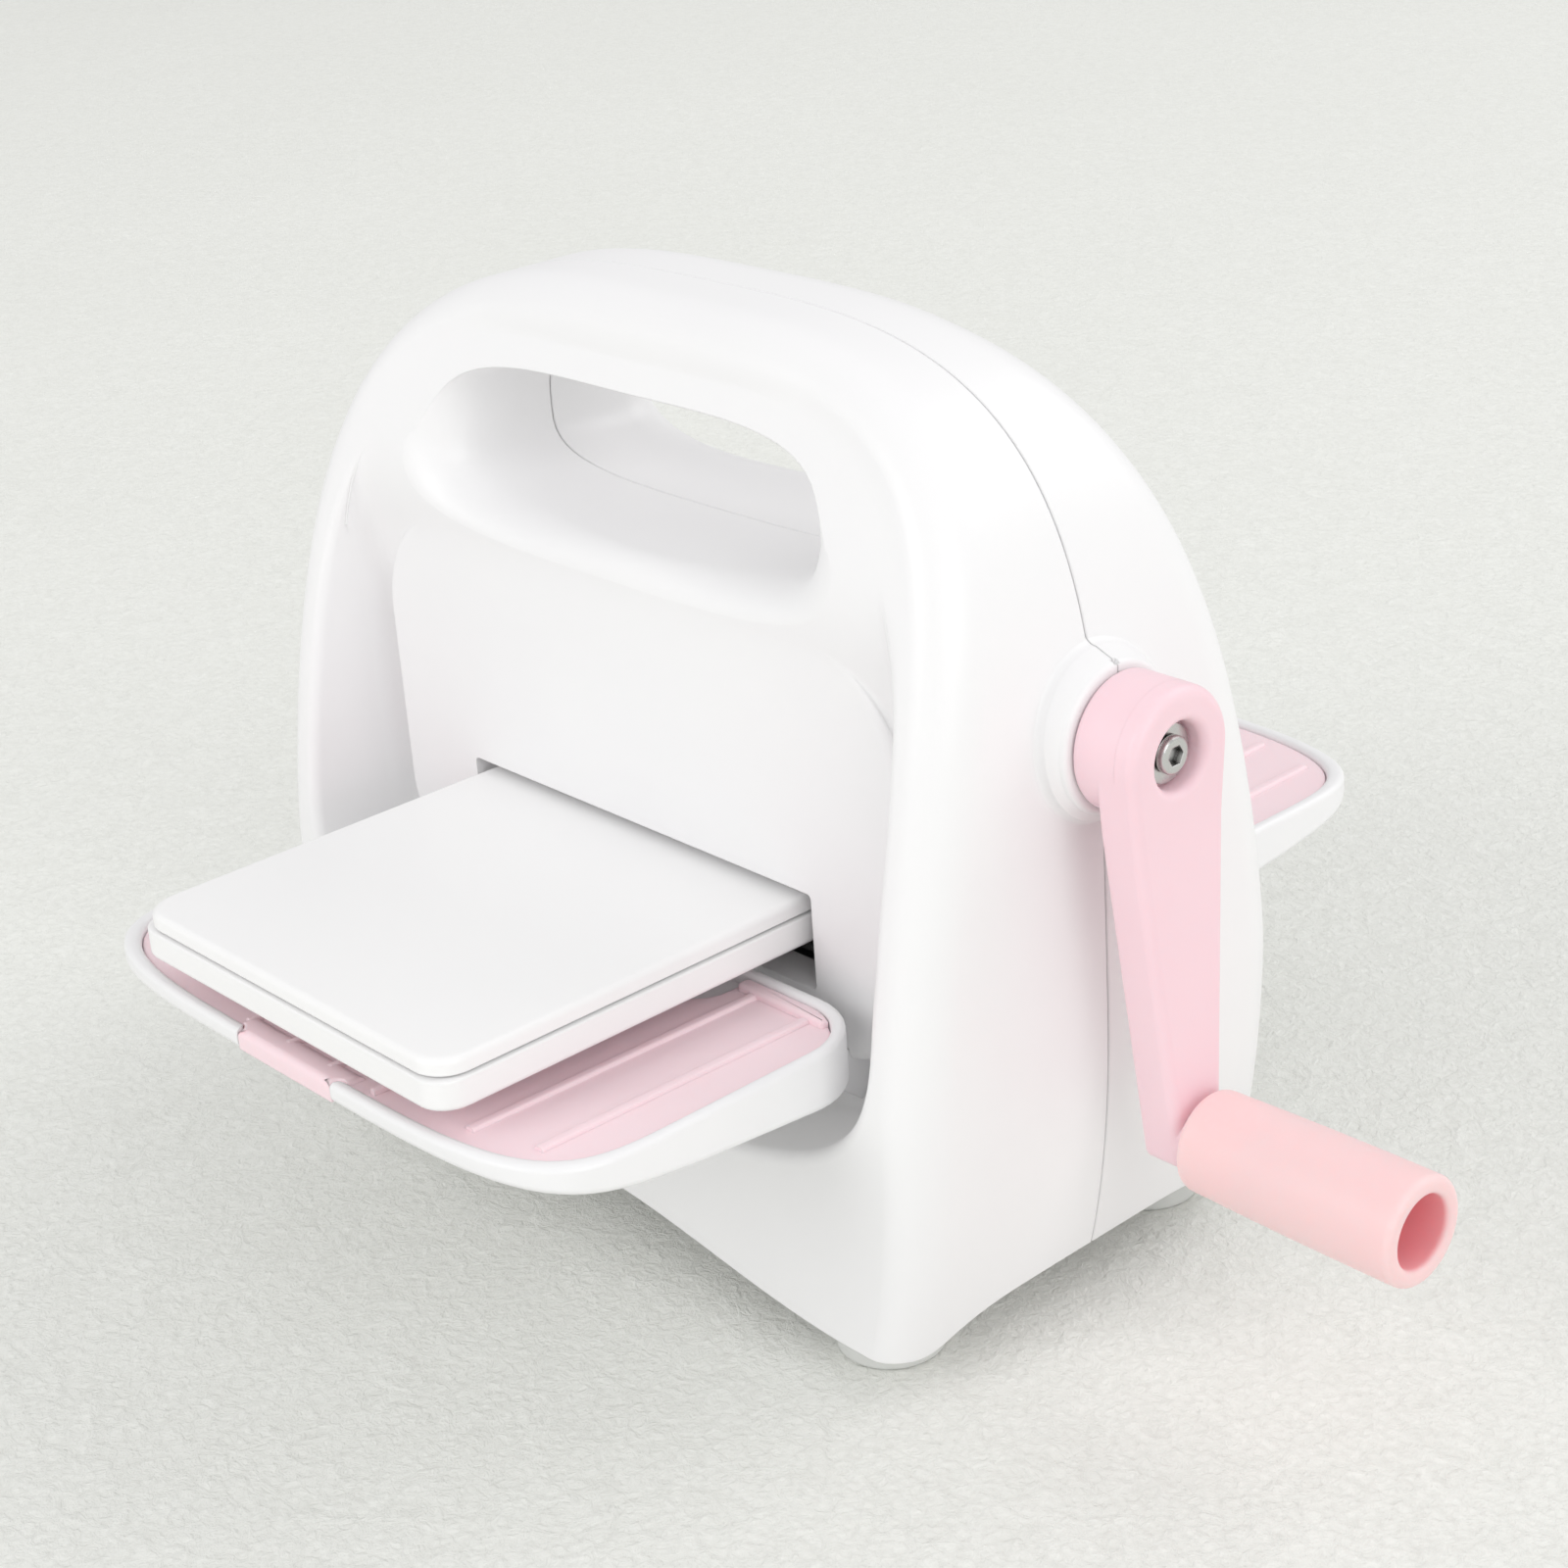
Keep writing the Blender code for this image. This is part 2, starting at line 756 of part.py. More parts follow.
def under_cuts(tag, lift):
    reach = 2 * body_half_width
    front = under_arch(
        f"{tag}_front_arch", front_arch_half, front_arch_rise, front_arch_power, reach, lift, False
    )
    sides = under_arch(
        f"{tag}_side_arch", side_arch_half, side_arch_rise, side_arch_power, reach, lift, True
    )
    return [add(mesh.name, mesh) for mesh in (front, sides)]


def ear_outline(side):
    """A hinge ear from the side, as (y, z): a root on the well's floor and a round eye."""
    eye = (hinge_y, hinge_z)
    arc = circle(eye, ear_radius, 8, math.pi, -math.pi, whole=False)
    inside = well_floor_y - wall / 2
    points = arc + [(hinge_y + ear_radius, hinge_z - ear_back_drop)]
    points += [(inside, ear_root_bottom_z), (inside, ear_root_top_z)]
    points += [(hinge_y - ear_radius, hinge_z - ear_back_drop)]
    return [(side * y, z) for y, z in points]


ear_inner_x = knuckle_inner_x + knuckle_length + clearance
ear_outer_x = ear_inner_x + ear_length


screw_levels = (
    ("lower", lower_screw_z, lower_post_short),
    ("upper", upper_screw_z, upper_post_short),
)


def shell(name, side):
    """One half of the housing: an open moulding with its well, tunnel, panel and bosses."""
    outside = housing_solid(name, side, 0.0, outer_fillet, seam, arch_count, fillet_count)
    body = add(name, outside, white_plastic)
    inside = housing_solid(
        f"{name}_cavity",
        side,
        wall,
        outer_fillet - wall,
        -overrun,
        inner_arch_count,
        inner_fillet_count,
    )
    cavity = add(inside.name, inside)
    inner_well = superellipse(
        well_half_width + wall,
        well_up + wall,
        well_down + wall,
        well_centre_z,
        well_powers,
        inner_count,
    )
    depths = (well_floor_y - wall, far_y)
    back = loft(f"{name}_well_back", [[(x, side * y, z) for x, z in inner_well] for y in depths])
    well_back = add(back.name, back)
    inner_ramp = ramp_solid(f"{name}_inner_ramp", side, wall)
    boolean(well_back, add(inner_ramp.name, inner_ramp))
    boolean(cavity, well_back)
    tunnel_back = tunnel_solid(f"{name}_tunnel_back", side, wall, far_y)
    boolean(cavity, add(tunnel_back.name, tunnel_back))
    for raised in under_cuts(f"{name}_inner", wall):
        boolean(cavity, raised)

    def cut(mesh, operation="DIFFERENCE"):
        boolean(body, add(mesh.name, mesh), operation)

    well = well_solid(f"{name}_well", side)
    well_cutter = add(well.name, well)
    ramp = ramp_solid(f"{name}_ramp", side, 0.0)
    boolean(well_cutter, add(ramp.name, ramp))
    boolean(body, well_cutter)
    cut(panel_solid(f"{name}_panel", side), "UNION")
    cut(tunnel_solid(f"{name}_tunnel", side, 0.0, far_y))
    for lower in under_cuts(f"{name}_outer", 0.0):
        boolean(body, lower)
    boolean(body, cavity)

    boss_base_x = body_half_width - boss_root
    boss = round_bar(
        f"{name}_boss",
        boss_base_radius,
        (boss_base_x, 0, crank_z),
        (boss_end_x, 0, crank_z),
        fine_steps,
        boss_end_radius,
    )
    cut(boss, "UNION")
    sleeve_start = body_half_width - wall - sleeve_length
    cut(
        round_bar(
            f"{name}_sleeve",
            sleeve_radius,
            (sleeve_start, 0, crank_z),
            (boss_base_x + wall, 0, crank_z),
        ),
        "UNION",
    )
    hole_start = (sleeve_start - overrun, 0, crank_z)
    hole_end = (boss_end_x + overrun, 0, crank_z)
    cut(round_bar(f"{name}_crank_hole", boss_bush_outer + clearance, hole_start, hole_end))

    for x in (-screw_x, screw_x):
        for level, z, short in screw_levels:
            tag = f"{name}_{level}_{'left' if x < 0 else 'right'}"
            reach = half_depth(z) - short
            start = (x, -side * overrun, z)
            post = round_bar(f"{tag}_post", screw_boss_radius, start, (x, side * reach, z))
            cut(post, "UNION")
            if side > 0:
                cut(
                    round_bar(
                        f"{tag}_counterbore",
                        counterbore_radius,
                        (x, screw_seat_y, z),
                        (x, far_y, z),
                        small_steps,
                    )
                )
                hole_reach = screw_seat_y + overrun
            else:
                hole_reach = -screw_reach - screw_hole_extra_depth
            hole = screw_radius + clearance
            end = (x, hole_reach, z)
            cut(round_bar(f"{tag}_hole", hole, start, end, small_steps))

    for x in (-foot_x, foot_x):
        tag = f"{name}_{'left' if x < 0 else 'right'}"
        y = side * foot_y
        pad_z = foot_height + clearance
        pad_top = corner_z + side_arch_rise + wall
        pad = round_bar(f"{tag}_foot_pad", foot_pad_radius, (x, y, pad_z), (x, y, pad_top))
        cut(pad, "UNION")
        stud_hole = foot_stud_radius + clearance
        cut(
            round_bar(
                f"{tag}_foot_hole",
                stud_hole,
                (x, y, pad_z - overrun),
                (x, y, pad_top + overrun),
                small_steps,
            )
        )
        low, high = sorted((math.copysign(ear_inner_x, x), math.copysign(ear_outer_x, x)))
        outline = ear_outline(side)
        ear = loft(f"{tag}_ear", [[(at, *spot) for spot in outline] for at in (low, high)])
        cut(ear, "UNION")
        cut(
            round_bar(
                f"{tag}_pin_hole",
                hinge_pin_radius + clearance,
                (low - overrun, side * hinge_y, hinge_z),
                (high + overrun, side * hinge_y, hinge_z),
                small_steps,
            )
        )

    low_y, high_y = sorted((side * (well_floor_y - wall - overrun), side * far_y))
    cut(
        block(
            f"{name}_slot",
            (-slot_half_width, low_y, slot_bottom_z - overrun),
            (slot_half_width, high_y, slot_top_z),
        )
    )
    low_y, high_y = sorted((side * seam, -side * far_y))
    reach = body_half_width + boss_end_x
    top = body_height + overrun
    cut(block(f"{name}_parting", (-reach, low_y, -overrun), (reach, high_y, top)))


shell("front_shell", -1)
shell("rear_shell", 1)


def tagged(side):
    return "front" if side < 0 else "rear"


# Screws, set in the back of the housing
for x in (-screw_x, screw_x):
    for level, z, short in screw_levels:
        seat = screw_seat_y + clearance
        place = Matrix.Translation((x, seat, z)) @ axis_to_y
        outline = [
            (0.0, screw_head_height - screw_socket_depth),
            (screw_socket_radius, screw_head_height - screw_socket_depth),
            (screw_socket_radius, screw_head_height),
            (screw_head_radius, screw_head_height),
            (screw_head_radius, 0.0),
            (screw_radius, 0.0),
            (screw_radius, -seat - screw_reach),
            (0.0, -seat - screw_reach),
        ]
        where = "left" if x < 0 else "right"
        turned(f"{level}_{where}_housing_screw", outline, small_steps, steel, place)


# Feet
for side in (-1, 1):
    for x in (-foot_x, foot_x):
        name = f"{tagged(side)}_{'left' if x < 0 else 'right'}_foot"
        outline = [
            (0.0, foot_height + foot_stud_height),
            (foot_stud_radius, foot_height + foot_stud_height),
            (foot_stud_radius, foot_height),
            (foot_radius, foot_height),
            (foot_radius, foot_round),
            (foot_radius - foot_round, 0.0),
            (0.0, 0.0),
        ]
        place = Matrix.Translation((x, side * foot_y, 0.0))
        turned(name, outline, round_steps, foot_rubber, place)


# Side frames, their bushes and tie rods
def frame_outline():
    """A side frame as (y, z): a wide foot, and a narrow upright between the two wells."""
    upright = well_floor_y - wall - clearance
    foot = body_half_depth - wall - 2 * clearance
    bottom = corner_z + side_arch_rise + wall + clearance
    foot_top = bottom + frame_foot_height
    top = crank_z + frame_top_margin
    radius = frame_corner_radius
    quarter = math.pi / 2
    points = [(-foot, bottom), (foot, bottom), (foot, foot_top - radius)]
    for y, z, start, sweep in (
        (foot - radius, foot_top - radius, 0.0, quarter),
        (upright + radius, foot_top + radius, -quarter, -quarter),
        (upright - radius, top - radius, 0.0, quarter),
        (radius - upright, top - radius, quarter, quarter),
        (-upright - radius, foot_top + radius, 0.0, -quarter),
        (radius - foot, foot_top - radius, quarter, quarter),
    ):
        points += circle((y, z), radius, fillet_count + 1, start, sweep, whole=False)
    return [p for i, p in enumerate(points) if math.dist(p, points[i - 1]) > clearance / 10]


bush_outer = journal_radius + running_clearance + bush_wall
frame_turn = Matrix(((0, 0, 1, 0), (1, 0, 0, 0), (0, 1, 0, 0), (0, 0, 0, 1)))
tie_rods = [(y, z) for z in (lower_tie_rod_z, upper_tie_rod_z) for y in (-tie_rod_y, tie_rod_y)]

for hand, where in ((-1, "left"), (1, "right")):
    levels = [lower_roller_z, upper_roller_z]
    if hand > 0:
        levels.append(crank_z)
    holes = [circle((0.0, z), bush_outer + clearance, round_steps) for z in levels]
    holes += [circle(spot, tie_rod_spigot_radius + clearance, small_steps) for spot in tie_rods]
    mesh = flat_outline(f"{where}_frame", [frame_outline()] + holes, frame_thickness)
    middle = hand * (frame_inner_x + frame_thickness / 2)
    add(f"{where}_frame", mesh, frame_steel, Matrix.Translation((middle, 0, 0)) @ frame_turn)


def bush(name, x, z, hand, length, outer):
    """A flanged bush, its flange on the side towards the rollers."""
    inner = journal_radius + running_clearance
    profile = [
        (inner, 0.0),
        (outer + bush_flange_extra, 0.0),
        (outer + bush_flange_extra, -bush_flange_thickness),
        (outer, -bush_flange_thickness),
        (outer, -bush_flange_thickness - length),
        (inner, -bush_flange_thickness - length),
    ]
    turn = Matrix.Rotation(-hand * math.pi / 2, 4, "Y")
    place = Matrix.Translation((x, 0, z)) @ turn
    return turned(name, profile, small_steps, bronze, place, closed=True)


flange_x = frame_inner_x - clearance - bush_flange_thickness
frame_bush_length = frame_thickness + clearance
for hand, where in ((-1, "left"), (1, "right")):
    for level, z in (("lower", lower_roller_z), ("upper", upper_roller_z)):
        label = f"{level}_{where}_roller_bush"
        bush(label, hand * flange_x, z, hand, frame_bush_length, bush_outer)
bush("crank_frame_bush", flange_x, crank_z, 1, frame_bush_length, bush_outer)
sleeve_inner_x = body_half_width - wall - sleeve_length
boss_bush_length = boss_end_x - sleeve_inner_x
bush(
    "crank_boss_bush",
    sleeve_inner_x - clearance - bush_flange_thickness,
    crank_z,
    1,
    boss_bush_length,
    boss_bush_outer,
)

for level, z in (("lower", lower_tie_rod_z), ("upper", upper_tie_rod_z)):
    for where, y in (("front", -tie_rod_y), ("rear", tie_rod_y)):
        shoulder = frame_inner_x - clearance
        end = frame_outer_x + tie_rod_spigot_stand
        profile = [
            (0.0, end),
            (tie_rod_spigot_radius, end),
            (tie_rod_spigot_radius, shoulder),
            (tie_rod_radius, shoulder),
            (tie_rod_radius, -shoulder),
            (tie_rod_spigot_radius, -shoulder),
            (tie_rod_spigot_radius, -end),
            (0.0, -end),
        ]
        place = Matrix.Translation((0, y, z)) @ axis_to_x
        turned(f"{level}_{where}_tie_rod", profile, small_steps, frame_steel, place)


# Rollers
def axis_empty(name, place, parent=None):
    """An empty on a joint's axis, which carries the pieces that move with it."""
    empty = bpy.data.objects.new(name, None)
    pieces.objects.link(empty)
    empty.parent = parent or machine
    empty.location = place
    return empty


upper_axis = axis_empty("upper_roller_axis", (0, 0, upper_roller_z))
lower_axis = axis_empty("lower_roller_axis", (0, 0, lower_roller_z))
crank_axis = axis_empty("crank_axis", (0, 0, crank_z))
grip_axis = axis_empty("grip_axis", (0, 0, -arm_length), crank_axis)

for name, axis in (("upper_roller", upper_axis), ("lower_roller", lower_axis)):
    left_end = -frame_outer_x - journal_chamfer
    right_end = gear_outer_x + journal_end_stand
    profile = [
        (0.0, right_end),
        (journal_radius - journal_chamfer, right_end),
        (journal_radius, right_end - journal_chamfer),
        (journal_radius, roller_half_length),
        (roller_radius - journal_chamfer, roller_half_length),
        (roller_radius, roller_half_length - journal_chamfer),
        (roller_radius, -roller_half_length + journal_chamfer),
        (roller_radius - journal_chamfer, -roller_half_length),
        (journal_radius, -roller_half_length),
        (journal_radius, left_end + journal_chamfer),
        (journal_radius - journal_chamfer, left_end),
        (0.0, left_end),
    ]
    turned(name, profile, round_steps, steel, axis_to_x, parent=axis)


# Gears
def involute(angle):
    return math.tan(angle) - angle


def gear_outline(teeth, first_angle):
    """A spur gear with stub teeth and involute flanks. A tooth is centred on first_angle."""
    pitch_radius = gear_module * teeth / 2
    base_radius = pitch_radius * math.cos(pressure_angle)
    tip_radius = pitch_radius + addendum_share * gear_module
    root_radius = pitch_radius - dedendum_share * gear_module
    half_tooth = (math.pi * gear_module / 2 - backlash) / 2 / pitch_radius

    def half_angle(radius):
        slope = math.acos(min(base_radius / radius, 1.0))
        return half_tooth + involute(pressure_angle) - involute(slope)

    low_radius = max(base_radius, root_radius)
    flank = [low_radius + (tip_radius - low_radius) * i / 2 for i in range(3)]
    points = []
    for tooth in range(teeth):
        middle = first_angle + 2 * math.pi * tooth / teeth
        rising = [(root_radius, -half_angle(low_radius))]
        rising += [(radius, -half_angle(radius)) for radius in flank]
        falling = [(radius, -angle) for radius, angle in reversed(rising)]
        for radius, angle in rising + falling:
            points.append(
                (radius * math.cos(middle + angle), radius * math.sin(middle + angle))
            )
    return [p for i, p in enumerate(points) if math.dist(p, points[i - 1]) > clearance / 30]


def gear(name, teeth, first_angle, axis):
    """A flat gear with a round bore, on its shaft."""
    bore = circle((0.0, 0.0), gear_bore_radius, round_steps)
    blank = flat_outline(name, [gear_outline(teeth, first_angle), bore], gear_width)
    place = Matrix.Translation((gear_inner_x + gear_width / 2, 0, 0)) @ frame_turn
    return add(name, blank, gear_steel, place, axis)


quarter_turn = math.pi / 2
roller_pitch = 2 * math.pi / roller_gear_teeth
gear("crank_pinion", pinion_teeth, -quarter_turn, crank_axis)
gear("upper_roller_gear", roller_gear_teeth, quarter_turn + roller_pitch / 2, upper_axis)
gear("lower_roller_gear", roller_gear_teeth, quarter_turn, lower_axis)


# Crank
shaft_start_x = frame_inner_x - clearance - bush_flange_thickness - journal_chamfer
shaft_end_x = arm_web_inner_x - clearance
head_seat_x = arm_web_outer_x + 2 * clearance + washer_thickness
screw_end_x = head_seat_x - crank_screw_reach
tapped_radius = crank_screw_radius + clearance
profile = [
    (0.0, shaft_end_x),
    (crank_shaft_radius - journal_chamfer, shaft_end_x),
    (crank_shaft_radius, shaft_end_x - journal_chamfer),
    (crank_shaft_radius, shaft_start_x + journal_chamfer),
    (crank_shaft_radius - journal_chamfer, shaft_start_x),
    (0.0, shaft_start_x),
]
shaft = turned("crank_shaft", profile, round_steps, steel, axis_to_x, parent=crank_axis)
tapped = round_bar(
    "crank_shaft_thread",
    tapped_radius,
    (screw_end_x - clearance, 0, 0),
    (shaft_end_x + overrun, 0, 0),
    small_steps,
)
boolean(shaft, add(tapped.name, tapped, parent=crank_axis))


def arm_section(below):
    """Width and sideways shift of the crank arm at this distance below its axis."""
    share = below / arm_length
    width = arm_top_width + (arm_tip_width - arm_top_width) * min(share, 1.0)
    shift = math.tan(arm_lean) * max(below - arm_lean_start, 0.0)
    return width, shift


def arm_ring(below, inset):
    """A cross-section of the crank arm, a box with rounded corners, at this level."""
    width, shift = arm_section(below)
    half = width / 2 - inset
    low = arm_face_x - arm_thickness + shift + inset
    high = arm_face_x + shift - inset
    radius = arm_edge_round
    outline = rounded_outline(half, low, high, radius, radius, fillet_count + 1)
    return [(x, y, -below) for y, x in outline]


def crank_arm():
    """The crank arm: a flat bar that narrows downwards, a round hub, and a collar for the grip."""
    tip = arm_length + arm_tip_below
    levels = [(0.0, 0.0), (arm_lean_start, 0.0), (arm_length / 2, 0.0)]
    levels += [(tip - arm_edge_round, 0.0), (tip - arm_edge_round / 3, arm_edge_round / 3)]
    levels += [(tip, arm_edge_round)]
    bar = loft("crank_arm", [arm_ring(*level) for level in levels])
    arm = add("crank_arm", bar, pink_plastic, parent=crank_axis)
    ends = ((arm_hub_inner_x, 0, 0), (arm_face_x, 0, 0))
    hub = round_bar("arm_hub", arm_hub_radius, *ends, fine_steps)
    hub_body = add("arm_hub", hub, parent=crank_axis)
    rounding = hub_body.modifiers.new("edge", "BEVEL")
    rounding.width = arm_edge_round
    rounding.segments = 2
    rounding.limit_method = "ANGLE"
    boolean(arm, hub_body, "UNION")
    tip_shift = arm_section(arm_length)[1]
    collar_end = grip_inner_x - clearance
    collar = round_bar(
        "arm_collar",
        arm_collar_radius,
        (arm_face_x + tip_shift - arm_thickness / 2, 0, -arm_length),
        (collar_end, 0, -arm_length),
    )
    boolean(arm, add("arm_collar", collar, parent=crank_axis), "UNION")

    def bore(name, radius, start, end, level=0.0, end_radius=None):
        ends = ((start, 0, level), (end, 0, level))
        mesh = round_bar(name, radius, *ends, round_steps, end_radius)
        boolean(arm, add(name, mesh, parent=crank_axis))

    shaft_bore = crank_shaft_radius + clearance
    web_end = arm_web_outer_x + overrun
    face_end = arm_face_x + overrun
    bore("arm_shaft_bore", shaft_bore, arm_hub_inner_x - overrun, arm_web_inner_x)
    bore("arm_screw_hole", tapped_radius, arm_web_inner_x - overrun, web_end)
    bore("arm_recess", recess_radius, arm_web_outer_x, face_end)
    spread = overrun * (recess_mouth_radius - recess_radius) / recess_mouth_depth
    bore(
        "arm_recess_mouth",
        recess_radius - spread,
        arm_face_x - recess_mouth_depth - overrun,
        face_end,
        end_radius=recess_mouth_radius + spread,
    )
    grip_bore = grip_screw_radius + clearance
    arm_back = arm_face_x - arm_thickness - overrun
    bore("arm_grip_hole", grip_bore, arm_back, collar_end + overrun, -arm_length)


crank_arm()

washer_x = arm_web_outer_x + clearance
profile = [
    (crank_screw_radius + clearance, washer_x + washer_thickness),
    (washer_radius, washer_x + washer_thickness),
    (washer_radius, washer_x),
    (crank_screw_radius + clearance, washer_x),
]
turned("crank_washer", profile, round_steps, steel, axis_to_x, closed=True, parent=crank_axis)


def socket_screw(name, head_radius, head_height, shank_radius, seat_x, end_x, axis):
    """A socket head screw along X, its head outwards, with a six-sided socket."""
    top = seat_x + head_height
    profile = [
        (0.0, top),
        (head_radius - journal_chamfer, top),
        (head_radius, top - journal_chamfer),
        (head_radius, seat_x),
        (shank_radius, seat_x),
        (shank_radius, end_x),
        (0.0, end_x),
    ]
    screw = turned(name, profile, round_steps, steel, axis_to_x, parent=axis)
    ends = ((top - hex_socket_depth, 0, 0), (top + overrun, 0, 0))
    socket = round_bar(f"{name}_socket", hex_socket_radius, *ends, hexagon_sides)
    boolean(screw, add(socket.name, socket, parent=axis))


socket_screw(
    "crank_screw",
    crank_screw_head_radius,
    crank_screw_head_height,
    crank_screw_radius,
    head_seat_x,
    screw_end_x,
    crank_axis,
)
web_outer_x = grip_end_x - grip_bore_depth
socket_screw(
    "grip_screw",
    grip_screw_head_radius,
    grip_screw_head_height,
    grip_screw_radius,
    web_outer_x + clearance,
    arm_face_x - arm_thickness + arm_section(arm_length)[1] + clearance,
    grip_axis,
)

half_round = grip_round * (1 - math.sqrt(0.5))
profile = [
    (grip_bore_radius, grip_end_x - grip_round),
    (grip_bore_radius + grip_round, grip_end_x),
    (grip_outer_radius - grip_round, grip_end_x),
    (grip_outer_radius - half_round, grip_end_x - half_round),
    (grip_outer_radius, grip_end_x - grip_round),
    (grip_inner_radius, grip_inner_x + grip_round),
    (grip_inner_radius - half_round, grip_inner_x + half_round),
    (grip_inner_radius - grip_round, grip_inner_x),
    (grip_screw_radius + running_clearance, grip_inner_x),
    (grip_screw_radius + running_clearance, web_outer_x),
    (grip_bore_radius, web_outer_x),
]
turned("grip", profile, fine_steps, grip_plastic, axis_to_x, closed=True, parent=grip_axis)


# Trays
def tray_outline(inset):
    """A tray from above, as (x, distance from the parting line): round in front, blunt behind."""
    half = tray_half_width - inset
    near = tray_near_y + inset
    far = tray_far_y - inset
    depth = tray_far_depth
    corner = tray_near_corner - inset
    quarter = math.pi / 2
    right = (half - corner, near + corner)
    left = (corner - half, near + corner)
    points = circle(right, corner, corner_count, -quarter, quarter, whole=False)
    bow = []
    for i in range(fine_chain_count + 1):
        a = math.pi * i / fine_chain_count
        across = math.copysign(abs(math.cos(a)) ** (2 / tray_far_power), math.cos(a))
        bow.append((half * across, far - depth + depth * math.sin(a) ** (2 / tray_far_power)))
    points += evenly(bow, tray_bow_count)
    points += circle(left, corner, corner_count, math.pi, quarter, whole=False)
    return points


def tray_bottom(distance):
    """Height of the tray's underside: it thins towards its far edge."""
    share = (distance - tray_near_y) / (tray_far_y - tray_near_y)
    rise = tray_far_bottom_z - tray_near_bottom_z
    return tray_near_bottom_z + rise * max(share, 0.0) ** tray_bottom_power


def tray_place(outline, side, height):
    return [(x, side * (y - hinge_y), height(y) - hinge_z) for x, y in outline]


